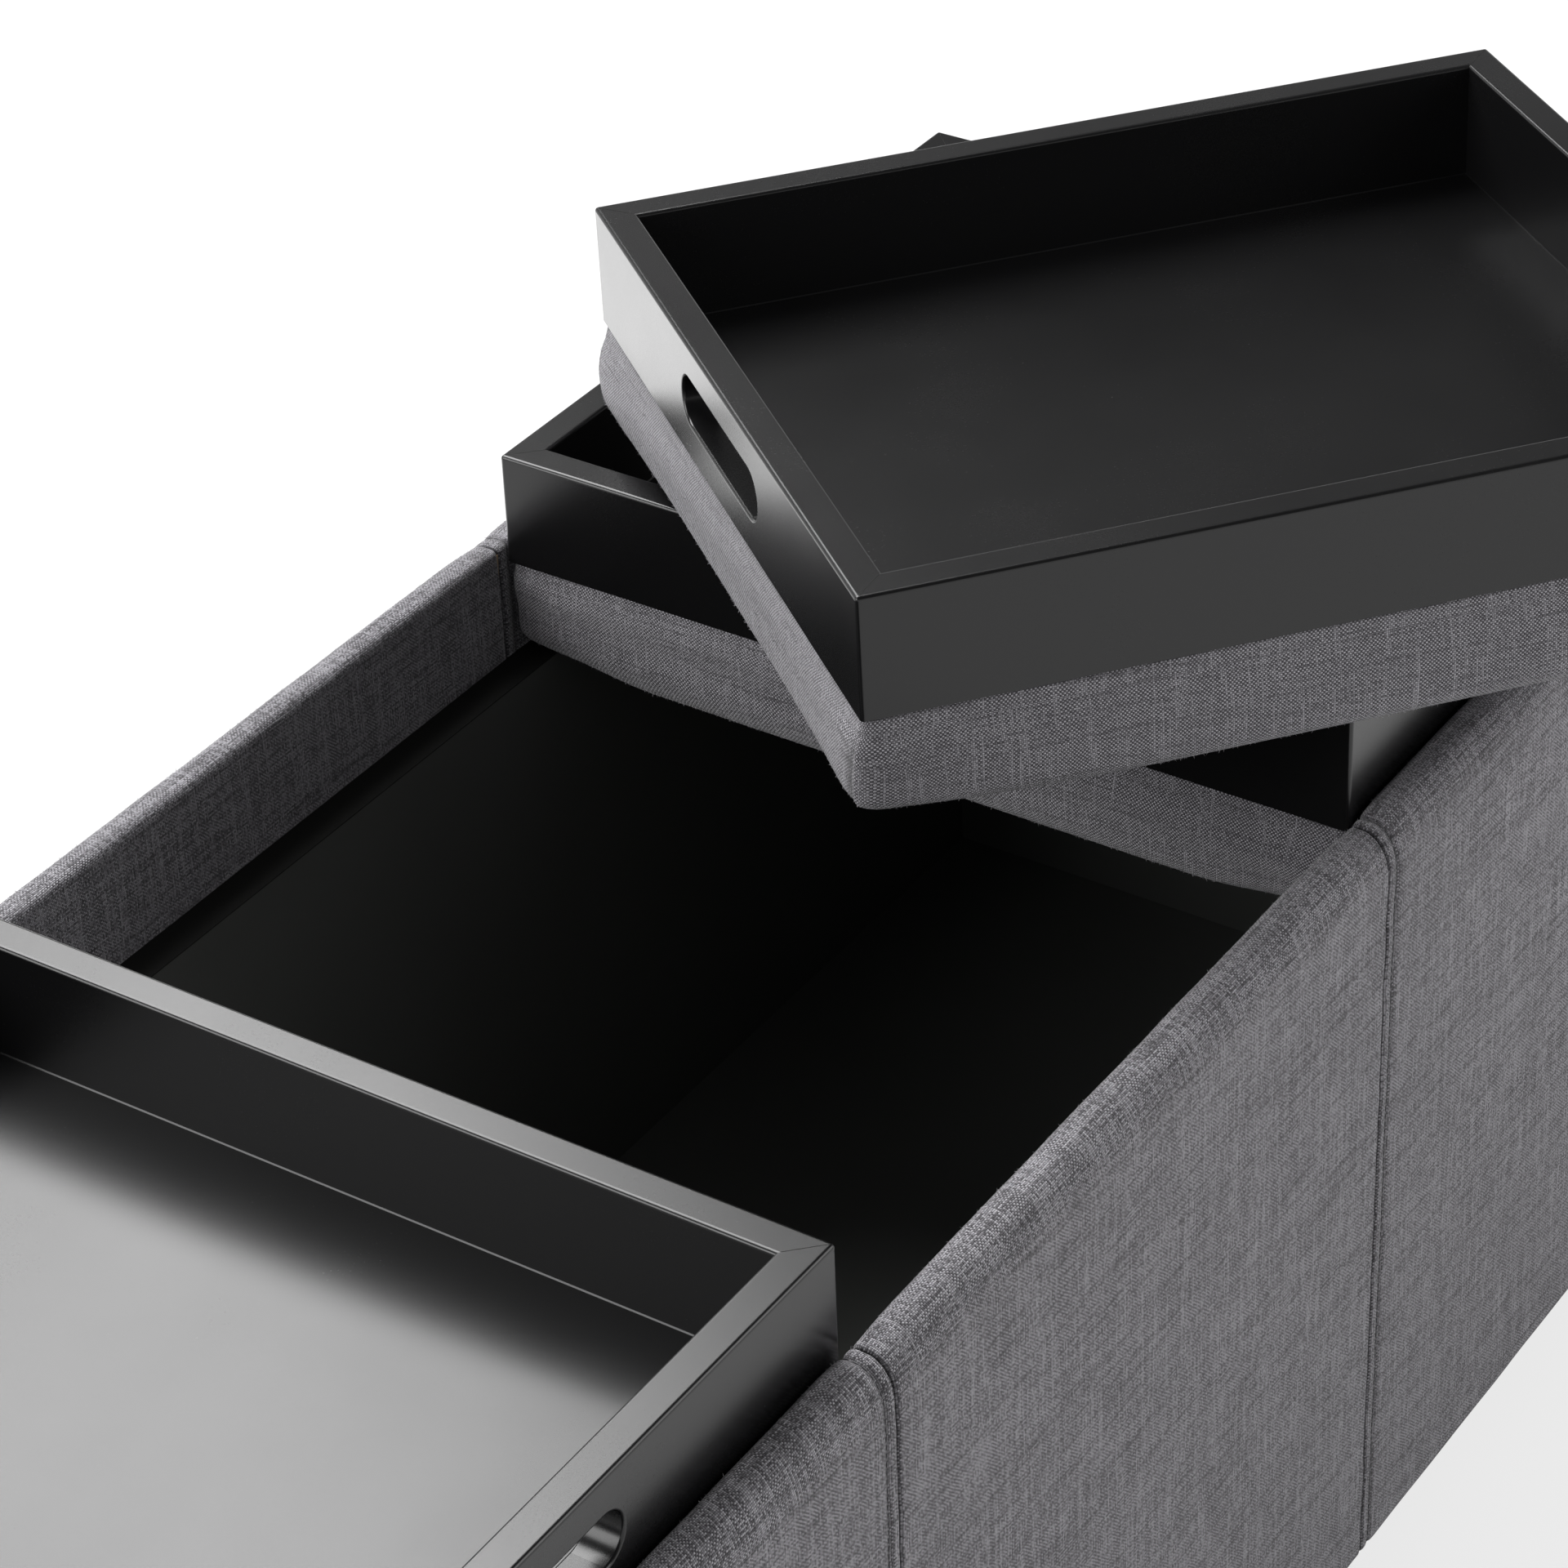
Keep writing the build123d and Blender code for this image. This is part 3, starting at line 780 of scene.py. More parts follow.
# %% Outline and side of a seat pad
PAD_THICKNESS = 44.0 * MM
PAD_CROWN = 6.0 * MM
PAD_START_CROWN = 4.5 * MM
PAD_CORNER = 5.0 * MM
PAD_STYLE = {"left": "seated", "middle": "loose", "right": "seated"}
PAD_ROUND = {"seated": (10.0 * MM, 14.0 * MM), "loose": (6.5 * MM, 9.0 * MM)}
PAD_CORNER_GROWTH = {"seated": 1.8, "loose": 0.3}
PAD_TUCK = 0.8 * MM
PAD_BOARD_BOTTOM = 13.5 * MM
PAD_SEAM_LEVEL = 7.5 * MM
PAD_SEAM_ROWS = (-2.4, -1.0, -0.4, 0.0, 0.4, 1.0, 2.4)
PAD_SIDE_ROWS = 4
PAD_ROUND_ROWS = 9
PAD_LIP = 12.0 * MM
PAD_CELL = 7.0 * MM
BEND_SHARES = (0.0, 0.15, 0.3, 0.5, 0.75)
TRAY_FLOOR_SINK = 1.8 * MM
HALF_X = LID_LENGTH / 2
HALF_Y = LID_DEPTH / 2


def pad_profile(style):
    """Rows of a pad's side, from the lip under the tray to the start of its crown: inset and level."""
    round_width, round_height = PAD_ROUND[style]
    rows = [(PAD_LIP + 1 * MM, -TRAY_FLOOR_SINK), (PAD_LIP, -0.2 * MM), (PAD_LIP / 2, 0.0)]
    rows += [(PAD_TUCK + 0.6 * MM, 0.0), (PAD_TUCK, -0.4 * MM), (PAD_TUCK * 0.6, -2 * MM)]
    rows += [(0.0, step * MM - PAD_SEAM_LEVEL) for step in PAD_SEAM_ROWS]
    straight = np.linspace(PAD_BOARD_BOTTOM, PAD_THICKNESS - round_height, PAD_SIDE_ROWS)
    rows += [(0.0, -level) for level in straight]
    for angle in np.radians(np.linspace(0, 90, PAD_ROUND_ROWS))[1:]:
        inset = round_width * (1 - math.cos(angle))
        level = round_height - PAD_THICKNESS - round_height * math.sin(angle)
        rows.append((inset, level))
    return rows


def corner_places(half):
    """Places along one side of a pad, close together at its two corners."""
    bend = [PAD_CORNER * share for share in BEND_SHARES]
    inner = np.linspace(PAD_CORNER, 2 * half - PAD_CORNER, int(round(2 * half / PAD_CELL)))
    return in_order(np.concatenate((bend, inner, [2 * half - value for value in bend[::-1]]))) - half


PLACES_X = corner_places(HALF_X)
PLACES_Y = corner_places(HALF_Y)


def outline():
    """Square outline of the net, once round: places on the full rectangle, counter-clockwise from above."""
    ring = [(x, -HALF_Y) for x in PLACES_X[:-1]]
    ring += [(HALF_X, y) for y in PLACES_Y[:-1]]
    ring += [(x, HALF_Y) for x in PLACES_X[:0:-1]]
    ring += [(-HALF_X, y) for y in PLACES_Y[:0:-1]]
    return ring


def rounded(x, y, inset, growth):
    """A point of the full rectangle's net, moved to a rectangle that is inset and has rounded corners."""
    radius = PAD_CORNER + inset * growth
    flat_x, flat_y = HALF_X - inset - radius, HALF_Y - inset - radius
    scaled_x, scaled_y = x * (HALF_X - inset) / HALF_X, y * (HALF_Y - inset) / HALF_Y
    over_x, over_y = abs(scaled_x) - flat_x, abs(scaled_y) - flat_y
    if over_x <= 0 or over_y <= 0:
        return scaled_x, scaled_y
    reach = max(over_x, over_y)
    length = math.hypot(over_x, over_y)
    return (math.copysign(flat_x + over_x * reach / length, x),
            math.copysign(flat_y + over_y * reach / length, y))


def crown(x, y, height, inset):
    """How far the crown hangs below the pad's lower edge at a point of its plan; it starts at the inset."""
    share = max(abs(x) / (HALF_X - inset), abs(y) / (HALF_Y - inset))
    return height * max(0.0, 1 - share ** 2)


print(f"Outline of a pad: {len(outline())} points")

# %% [markdown]
# The net has the outline at every row of the side, and a grid of quads for the crowned face. The side's cut
# runs round the pad, and the crowned face has its own plan as its cut, so that the yarns run square to the
# edges on the sides as well as below.

# %% Net of a seat pad


def fill_grid(net, layer, grid, xs, ys, is_hole=None):
    """Quads between the points of a grid, apart from its holes, with the plan as the cut."""
    for x, next_x in zip(xs, xs[1:]):
        for y, next_y in zip(ys, ys[1:]):
            if is_hole and is_hole(x, next_x, y, next_y):
                continue
            face = net.faces.new((grid[x, y], grid[x, next_y], grid[next_x, next_y], grid[next_x, y]))
            for loop in face.loops:
                loop[layer].uv = loop.vert.co.xy


def pad_net(style):
    """Net of a pad in the lid's own frame, open at the top, with its cut kept as a UV map."""
    growth = PAD_CORNER_GROWTH[style]
    foot = PAD_ROUND[style][0]
    net = bmesh.new()
    layer = net.loops.layers.uv.new("cut")
    ring = outline()
    profile = pad_profile(style)
    levels = lengths_along(profile)
    around = lengths_along(ring + ring[:1])
    rows = []
    for inset, level in profile:
        rows.append([net.verts.new((*rounded(x, y, inset, growth), level)) for x, y in ring])
    for upper in range(len(rows) - 1):
        for column in range(len(ring)):
            after = (column + 1) % len(ring)
            above, below = rows[upper], rows[upper + 1]
            face = net.faces.new((below[column], below[after], above[after], above[column]))
            flat = ((column, upper + 1), (column + 1, upper + 1), (column + 1, upper), (column, upper))
            for loop, (place, level) in zip(face.loops, flat):
                loop[layer].uv = (around[place], -levels[level])
    grid = dict(zip(ring, rows[-1]))
    for x in PLACES_X:
        for y in PLACES_Y:
            if (x, y) not in grid:
                flat_x, flat_y = rounded(x, y, foot, growth)
                level = -PAD_THICKNESS - crown(flat_x, flat_y, PAD_START_CROWN, foot)
                grid[x, y] = net.verts.new((flat_x, flat_y, level))
    fill_grid(net, layer, grid, PLACES_X, PLACES_Y)
    net.normal_update()
    return mesh_of(net, f"{style}_pad_net")


PAD_NETS = {style: pad_net(style) for style in PAD_CORNER_GROWTH}
for style, net in PAD_NETS.items():
    print(f"Net of a {style} pad: {len(net.vertices)} points, {len(net.polygons)} faces")

# %% [markdown]
# Blender's cloth simulation blows the net up under pressure, with gravity off and the top held by the board.
# The net is first drawn in a little, so that the cloth is taut when it fills out. A pad can only fill the
# room that it has, so no point moves further than a cap, and the result is kept inside the form of foam and
# board.

# %% Blow the pad up as cloth
PAD_STEPS = 20
PAD_MOST_MOVE = 1.8 * MM
PAD_LEAST_MOVE = 1e-9
PAD_SHRINK = 0.7 * MM
PAD_HELD = -PAD_BOARD_BOTTOM - 1 * MM
PAD_CLOTH = {
    "quality": 6,
    "mass": 0.3,
    "tension_stiffness": 25,
    "compression_stiffness": 25,
    "shear_stiffness": 12,
    "bending_stiffness": 1.5,
    "use_pressure": True,
    "uniform_pressure_force": 4.0,
    "vertex_group_mass": "held",
}


def blown(mesh):
    """Points of the net after the cloth simulation, no point moved further than the cap."""
    scene = bpy.context.scene
    trial = new_piece("pad_trial", mesh.copy())
    start = np.array([vertex.co for vertex in mesh.vertices])
    held = trial.vertex_groups.new(name="held")
    held.add([vertex.index for vertex in mesh.vertices if vertex.co.z > PAD_HELD], 1.0, "REPLACE")
    for vertex in trial.data.vertices:
        if vertex.co.z <= PAD_HELD:
            vertex.co.x -= math.copysign(PAD_SHRINK, vertex.co.x) * min(1.0, abs(vertex.co.x) / HALF_X)
            vertex.co.y -= math.copysign(PAD_SHRINK, vertex.co.y) * min(1.0, abs(vertex.co.y) / HALF_Y)
    cloth = trial.modifiers.new("cloth", "CLOTH")
    for name, value in PAD_CLOTH.items():
        setattr(cloth.settings, name, value)
    cloth.settings.effector_weights.gravity = 0.0
    cloth.collision_settings.use_collision = False
    cloth.point_cache.frame_start = 1
    cloth.point_cache.frame_end = PAD_STEPS
    for step in range(1, PAD_STEPS + 1):
        scene.frame_set(step)
    evaluated = trial.evaluated_get(bpy.context.evaluated_depsgraph_get())
    moved = np.array([vertex.co for vertex in evaluated.data.vertices])
    scene.frame_set(1)
    bpy.data.objects.remove(trial, do_unlink=True)
    shift = moved - start
    length = np.linalg.norm(shift, axis=1)
    share = np.minimum(1.0, PAD_MOST_MOVE / np.maximum(length, PAD_LEAST_MOVE))
    return start + shift * share[:, None]


def inside_form(point, style):
    """A point kept inside the form that the foam and the board give the pad."""
    x, y, z = point
    round_width, round_height = PAD_ROUND[style]
    sine = min(1.0, max(0.0, (-z - PAD_THICKNESS + round_height) / round_height))
    inset = round_width * (1 - math.sqrt(1 - sine ** 2))
    x = max(inset - HALF_X, min(HALF_X - inset, x))
    y = max(inset - HALF_Y, min(HALF_Y - inset, y))
    return x, y, max(z, -PAD_THICKNESS - crown(x, y, PAD_CROWN, round_width))


pad_points = {}
for style, net in PAD_NETS.items():
    points = blown(net)
    pad_points[style] = np.array([inside_form(point, style) for point in points])
    crown_now = -pad_points[style][:, 2].min() - PAD_THICKNESS
    print(f"Crown of a {style} pad: {crown_now / MM:.1f} mm")

# %% [markdown]
# Foam is never even. The sides of a pad bulge, a seated pad hangs down a little between the ledges that carry
# it, and a loose one is fuller at its corners, which turn up. Seams are narrower than the simulation's net,
# so they are pressed in last: a tuck all round below the tray, and a seam near each corner.

# %% How a pad's points move
TUCK_DEPTH = 0.8 * MM
TUCK_WIDTH = 1.0 * MM
CORNER_SEAM_DEPTH = 1.8 * MM
CORNER_SEAM_WIDTH = 0.7 * MM
CORNER_SEAM_START = 9.0 * MM
CORNER_SEAM_FADE = 6.0 * MM
CORNER_SEAM_SHIFT = 0.75 * PAD_CORNER
CORNER_SEAM_REACH = 4 * PAD_CORNER
PAD_LIP_LEVEL = -1.0 * MM
SIDE_REACH = 13.0 * MM
SWELL_LEVEL = 0.55
SWELL_LOSS = 0.2
PAD_PUCKER = 0.3 * MM
PAD_PUCKER_MEAN = 0.6
PAD_WAVES = (60, 60, 40)
PAD_BULGE = {"seated": (3.0 * MM, 0.4 * MM), "loose": (3.5 * MM, 3.5 * MM)}
PAD_FULL_CORNER = {"seated": 0.0, "loose": 5.0 * MM}
PAD_CORNER_LIFT = {"seated": 0.0, "loose": 4.0 * MM}
FULL_CORNER_REACH = 55.0 * MM
PAD_SAG = {"seated": 6.0 * MM, "loose": 0.0}
SAG_REACH = 50.0 * MM
LEDGE_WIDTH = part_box("lining_front")[1].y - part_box("lining_front")[0].y
OUTER_END = {"left": -1, "middle": 0, "right": 1}


def tuck(point):
    """Share of the tuck's depth at a point: the line where the cloth is drawn in below the tray."""
    return groove(abs(point[2] + PAD_SEAM_LEVEL), 1.0, TUCK_WIDTH)


def corner_seam(point):
    """Share of a corner seam's depth at a point; it lies just round the corner, on a hand slot's side."""
    x, y, z = point
    to_x, to_y = HALF_X - abs(x), HALF_Y - abs(y)
    if max(to_x, to_y) > CORNER_SEAM_REACH:
        return 0.0
    below = min(1.0, max(0.0, (-z - CORNER_SEAM_START) / CORNER_SEAM_FADE))
    return below * groove(abs(to_x - to_y - CORNER_SEAM_SHIFT) / math.sqrt(2), 1.0, CORNER_SEAM_WIDTH)


def hang(x, y, outer_end):
    """Share of the full sag at a place of the pad's plan; where the pad lies on a ledge it can't sag."""
    room = HALF_Y - abs(y)
    if outer_end:
        room = min(room, HALF_X - outer_end * x)
    share = min(1.0, max(0.0, (room - LEDGE_WIDTH) / SAG_REACH))
    return share ** 2 * (3 - 2 * share)


def pad_shift(point, which):
    """Move of a pad's point: out where the foam bulges, down where it hangs free, in where a seam is sewn."""
    x, y, z = point
    if z > PAD_LIP_LEVEL:
        return Vector((0, 0, 0))
    style = PAD_STYLE[which]
    to_x, to_y = HALF_X - abs(x), HALF_Y - abs(y)
    edge_x, edge_y = (max(0.0, SIDE_REACH - room) / SIDE_REACH for room in (to_x, to_y))
    out = Vector((math.copysign(edge_x ** 2, x), math.copysign(edge_y ** 2, y), 0))
    fullness = min(1.0, max(0.0, (-z - PAD_SEAM_LEVEL) / (PAD_THICKNESS - PAD_SEAM_LEVEL)))
    swell = math.sin(min(1.0, fullness / SWELL_LEVEL) * math.pi / 2) * (1 - SWELL_LOSS * fullness)
    bulge_x, bulge_y = PAD_BULGE[style]
    bulge_y += groove(to_x, PAD_FULL_CORNER[style], FULL_CORNER_REACH)
    lift = groove(math.hypot(to_x, to_y), PAD_CORNER_LIFT[style], FULL_CORNER_REACH)
    drop = (PAD_SAG[style] * hang(x, y, OUTER_END[which]) - lift) * fullness ** 2
    loose = Vector((out.x * bulge_x * swell, out.y * bulge_y * swell, -drop))
    inward = -out.normalized() if out.length > 1 else -out
    pucker = PAD_PUCKER * fullness * (PAD_PUCKER_MEAN + waves((x, y, z), PAD_WAVES))
    sewn_in = TUCK_DEPTH * tuck(point) + CORNER_SEAM_DEPTH * corner_seam(point)
    return loose + inward * (sewn_in + pucker)


side_middle = Vector((HALF_X, 0, -PAD_THICKNESS / 2))
for which in LIDS:
    print(f"Side of the {which} pad bulges {pad_shift(side_middle, which).x / MM:.1f} mm")

# %% [markdown]
# The shaped net becomes a pad in three steps: one level of subdivision rounds it off, its open top is closed
# where it lies against the tray, and it is set in its lid's place.

# %% Seat pads


def close_top(mesh):
    """Fills the open top of a pad, where it lies against the tray."""
    net = bmesh.new()
    net.from_mesh(mesh)
    bmesh.ops.holes_fill(net, edges=[edge for edge in net.edges if edge.is_boundary], sides=0)
    net.to_mesh(mesh)
    net.free()


def seat_pad(which):
    points = pad_points[PAD_STYLE[which]]
    mesh = PAD_NETS[PAD_STYLE[which]].copy()
    mesh.name = f"{which}_seat_pad"
    for vertex, point in zip(mesh.vertices, points):
        vertex.co = Vector(point) + pad_shift(point, which)
    # Painted shade: the tuck and the corner seams are painted darker through the crease attribute.
    keep_crease(mesh, [tuck(point) + corner_seam(point) for point in points])
    pad = new_piece(f"{which}_seat_pad", mesh, PAD_FABRIC)
    finer = pad.modifiers.new("finer", "SUBSURF")
    finer.levels = 1
    finer.render_levels = 1
    finished_mesh(pad)
    close_top(pad.data)
    pad.data.transform(LIDS[which])
    smooth(pad)
    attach(pad, f"{which}_lid")
    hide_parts(f"{which}_pad_cover", f"{which}_pad_foam")
    return pad


pads = {which: seat_pad(which) for which in LIDS}
print("Pads:", {which: len(pad.data.polygons) for which, pad in pads.items()})

# %% [markdown]
# Two small things make a tray look joined rather than cast. Lacquer gathers in a thin bead where the walls
# meet the floor, and it catches the light as a fine line. On top of the frame a hairline shows where the
# mitred walls meet. Both follow the lid's outline, so a few corners of it are all that they need.

# %% Beads and mitre lines of the trays
BEAD = 0.45 * MM
MITRE_WIDTH = 0.22 * MM
MITRE_EASE = 1.6 * MM
MITRE_LIFT = 0.04 * MM
FLOOR_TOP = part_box("left_tray_floor")[1].z - LID_LOW.z


def ring_corners(inset, level):
    """Corners of a rectangle inside a lid's outline, at a level of the lid's frame."""
    x, y = HALF_X - inset, HALF_Y - inset
    return [(-x, -y, level), (x, -y, level), (x, y, level), (-x, y, level)]


def floor_bead(which):
    wall_foot = ring_corners(TRAY_WALL, FLOOR_TOP)
    up_wall = ring_corners(TRAY_WALL, FLOOR_TOP + BEAD)
    on_floor = ring_corners(TRAY_WALL + BEAD, FLOOR_TOP)
    points = np.array([wall_foot, on_floor, up_wall, wall_foot])
    return net_object(f"{which}_floor_bead", points, points[:, :, :2], BLACK_LACQUER, closed=True)


def mitre_lines(which):
    outer = ring_corners(MITRE_EASE, TRAY_HEIGHT + MITRE_LIFT)
    inner = ring_corners(TRAY_WALL - MITRE_EASE, TRAY_HEIGHT + MITRE_LIFT)
    points, faces = [], []
    for start, end in zip(map(Vector, outer), map(Vector, inner)):
        side = (end - start).normalized().cross(Vector((0, 0, 1))) * MITRE_WIDTH / 2
        first = len(points)
        points += [start - side, end - side, end + side, start + side]
        faces.append((first, first + 3, first + 2, first + 1))
    name = f"{which}_mitre_lines"
    return new_piece(name, plain_mesh(name, points, faces=faces), BLACK_LINING)


for which in LIDS:
    for trim in (floor_bead(which), mitre_lines(which)):
        trim.data.transform(LIDS[which])
        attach(trim, f"{which}_lid")
print("Beads and mitre lines on", len(LIDS), "trays")

# %% [markdown]
# Stitches, fibres and staples all repeat, which is what Geometry Nodes are for. Each has a tree of its own,
# but the trees begin and end alike: named inputs for the sizes, and at the end a shape set on points, made
# real and given its material. The result is then turned into a plain mesh.

# %% Trees that set out a shape


def growing_tree(name, inputs, result):
    """Graph of a new tree and the first socket of its inputs, which are given as names and kinds."""
    tree = bpy.data.node_groups.new(name, "GeometryNodeTree")
    for label, kind in inputs.items():
        tree.interface.new_socket(label, in_out="INPUT", socket_type=f"NodeSocket{kind}")
    tree.interface.new_socket(result, in_out="OUTPUT", socket_type="NodeSocketGeometry")
    graph = Graph(tree)
    return graph, graph.node("NodeGroupInput")


def along_line(graph, start, axis):
    """Points along the tree's line at its pitch, and the turn that lays a shape's axis along the line."""
    curve = graph.node("GeometryNodeMeshToCurve", None, {"Mesh": start})
    points = graph.node("GeometryNodeResampleCurve", {"mode": "LENGTH"}, {
        "Curve": curve, "Length": start.other("Pitch")})
    tangent = graph.node("GeometryNodeInputTangent")
    turn = graph.node("FunctionNodeAlignRotationToVector", {"axis": axis}, {"Vector": tangent})
    return {"Points": points, "Rotation": turn}


def set_out(graph, material, layout, shaded_smooth=False):
    """Ends a tree: the layout says which shape is set on which points, and how it is turned and scaled."""
    copies = graph.node("GeometryNodeInstanceOnPoints", None, layout)
    real = graph.node("GeometryNodeRealizeInstances", None, {"Geometry": copies})
    if shaded_smooth:
        real = graph.node("GeometryNodeSetShadeSmooth", None, {"Geometry": real})
    dyed = graph.node("GeometryNodeSetMaterial", None, {"Geometry": real, "Material": material})
    graph.node("NodeGroupOutput", None, {0: dyed})
    return graph.tree


def line_mesh(lines):
    """Mesh of polylines without faces."""
    points, edges = [], []
    for line in lines:
        edges += [(len(points) + index, len(points) + index + 1) for index in range(len(line) - 1)]
        points += [tuple(point) for point in line]
    return plain_mesh("lines", points, edges)


def grown(name, tree, mesh, values):
    """Object grown by a tree from a mesh; values go to the tree's inputs by name."""
    piece = new_piece(name, mesh)
    modifier = piece.modifiers.new("grow", "NODES")
    modifier.node_group = tree
    for item in tree.interface.items_tree:
        if item.in_out == "INPUT" and item.name in values:
            modifier[item.identifier] = values[item.name]
    return finished_mesh(piece)


print("Helpers for trees ready")

# %% [markdown]
# The felled seams of the front and the rear have a row of stitches beside the joint. A stitch is a small
# spindle of thread, turned along the seam. The line that carries the stitches is worked out with the same
# formulas as the cloth, so they lie in it, also over the rim.

# %% Stitches of the felled seams
STITCH_PITCH = 3.6 * MM
STITCH_LENGTH = 2.7 * MM
STITCH_RADIUS = 0.32 * MM
STITCH_RISE = 0.7 * STITCH_RADIUS


def sewing_tree():
    sew, start = growing_tree("stitch_row", {
        "Line": "Geometry", "Pitch": "Float", "Length": "Float", "Radius": "Float",
        "Thread": "Material"}, "Stitches")
    ball = sew.node("GeometryNodeMeshUVSphere", None, {"Segments": 6, "Rings": 4, "Radius": 1.0})
    size = sew.vector(start.other("Radius"), start.other("Radius"), start.other("Length") * 0.5)
    spindle = sew.node("GeometryNodeTransform", None, {"Geometry": ball, "Scale": size})
    layout = {"Instance": spindle, **along_line(sew, start, "Z")}
    return set_out(sew, start.other("Thread"), layout, shaded_smooth=True)


def seam_line(side, seam, fell):
    """Points along a felled seam's row of stitches, in the cloth, from the hem over the rim to the ledge."""
    along, out = SIDE_AXES[side]
    line = []
    for (inset, height, into_in, into_up), run in list(zip(SECTION, SECTION_RUN))[HEM_ROWS:-FOOT_ROWS]:
        place = fell_place(fell, run)
        depth = sewn(place, run, (seam,), (fell,)) + slack(place, run, (seam,)) - STITCH_RISE
        spot = BENCH_PLAN + along * place + out * (HALF_DEPTH - inset - depth * into_in)
        line.append((spot.x, spot.y, height + depth * into_up))
    return line


seam_rows = []
for side in ("front", "rear"):
    for sign in (-1, 1):
        seam_rows.append(seam_line(side, sign * FRONT_SEAM, sign * FELL_LINE))
stitches = grown("cover_stitches", sewing_tree(), line_mesh(seam_rows), {
    "Pitch": STITCH_PITCH, "Length": STITCH_LENGTH, "Radius": STITCH_RADIUS, "Thread": THREAD})
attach(stitches, "bench")
print(f"Stitches: {len(stitches.data.polygons)} faces")

# %% [markdown]
# Slubby yarn is hairy. Loose fibres stand off the cloth and blur its outline, most of all along the rim and
# the pads. A tree scatters fine cones over a surface, leans each one by chance and keeps the seed fixed. The
# undersides of the pads get none, because they are hardly seen.

# %% Loose fibres
FIBRE_LENGTH = 1.3 * MM
FIBRE_RADIUS = 0.15 * MM
FIBRE_SHORTEST = 0.35
FIBRE_LEAN = 1.1
FIBRE_TURN = 6.28
RIM_FIBRES = 130000.0
PAD_FIBRES = 200000.0
RIM_BAND = 18.0 * MM
FACING_DOWN = -0.85


def fibre_tree():
    hair, start = growing_tree("loose_fibres", {
        "Cloth": "Geometry", "Density": "Float", "Length": "Float", "Radius": "Float", "Lowest": "Float",
        "Seed": "Int", "Yarn": "Material"}, "Fibres")
    level = hair.axis(hair.node("GeometryNodeInputPosition"), "Z")
    facing = hair.axis(hair.node("GeometryNodeInputNormal"), "Z")
    hairy = level.maths("GREATER_THAN", start.other("Lowest")) * facing.maths("GREATER_THAN", FACING_DOWN)
    points = hair.node("GeometryNodeDistributePointsOnFaces", None, {
        "Mesh": start, "Selection": hairy, "Density": start.other("Density"), "Seed": start.other("Seed")})
    lean = hair.node("FunctionNodeRandomValue", {"data_type": "FLOAT_VECTOR"}, {
        0: (-FIBRE_LEAN, -FIBRE_LEAN, 0), 1: (FIBRE_LEAN, FIBRE_LEAN, FIBRE_TURN)})
    leaned = hair.node("FunctionNodeEulerToRotation", None, {0: lean})
    turn = hair.node("FunctionNodeRotateRotation", {"rotation_space": "LOCAL"}, {
        0: points.other("Rotation"), 1: leaned})
    cone = hair.node("GeometryNodeMeshCone", {"fill_type": "NONE"}, {
        "Vertices": 3, "Radius Top": 0.0, "Radius Bottom": start.other("Radius"),
        "Depth": start.other("Length")})
    size = hair.node("FunctionNodeRandomValue", {"data_type": "FLOAT"}, {2: FIBRE_SHORTEST, 3: 1.0}, 1)
    layout = {"Points": points, "Instance": cone, "Rotation": turn, "Scale": size}
    return set_out(hair, start.other("Yarn"), layout)


def joined_mesh(pieces):
    """One mesh of several pieces."""
    net = bmesh.new()
    for piece in pieces:
        net.from_mesh(piece.data)
    return mesh_of(net, "cloth")


FIBRES = fibre_tree()
hairy_cloth = {"bench": (covers.values(), BENCH_HIGH.z - RIM_BAND, RIM_FIBRES)}
for which, pad in pads.items():
    hairy_cloth[f"{which}_lid"] = ([pad], 0.0, PAD_FIBRES)
for seed, (body, (pieces, lowest, density)) in enumerate(hairy_cloth.items()):
    fuzz = grown(f"{body}_fibres", FIBRES, joined_mesh(pieces), {
        "Density": density, "Length": FIBRE_LENGTH, "Radius": FIBRE_RADIUS, "Lowest": lowest,
        "Seed": seed, "Yarn": FIBRE})
    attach(fuzz, body)
    print(f"{fuzz.name}: {len(fuzz.data.polygons) // 3} fibres")

# %% [markdown]
# Under the box a black dust cloth is stapled over the hem. It is a thin sheet, cut out round the feet, and it
# hangs a little between its edges. A grid whose lines also run along the cut-outs is the plainest way to it.

# %% Dust cloth
DUST_LOW, DUST_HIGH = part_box("dust_cover")
DUST_MIDDLE = (DUST_LOW + DUST_HIGH) / 2
DUST_HALF = (DUST_HIGH - DUST_LOW) / 2
DUST_SAG = 1.2 * MM
DUST_SLOPE = 8
DUST_MEAN_SAG = 0.7
DUST_UNEVEN_SAG = 0.5
DUST_WAVES = (9, 9, 1)
DUST_THICKNESS = 0.6 * MM
DUST_COLUMNS = 80
DUST_ROWS = 34
GRID_DIGITS = 5
GRID_CLOSE = 1e-6
FOOT_NODES = [f"foot_{end}_{side}" for end in ("front", "rear") for side in ("left", "right")]
CUTOUT_GAP = 1.0 * MM


def foot_cutout(foot):
    """Cut-out round a foot: its low and high X, then its low and high Y."""
    low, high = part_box(foot)
    sides = (low.x - CUTOUT_GAP, high.x + CUTOUT_GAP, low.y - CUTOUT_GAP, high.y + CUTOUT_GAP)
    return [round(value, GRID_DIGITS) for value in sides]


CUTOUTS = [foot_cutout(foot) for foot in FOOT_NODES]


def in_cutout(x, next_x, y, next_y):
    """Whether a cell of the grid lies in a foot's cut-out."""
    for low_x, high_x, low_y, high_y in CUTOUTS:
        in_x = low_x - GRID_CLOSE <= x and next_x <= high_x + GRID_CLOSE
        if in_x and low_y - GRID_CLOSE <= y and next_y <= high_y + GRID_CLOSE:
            return True
    return False


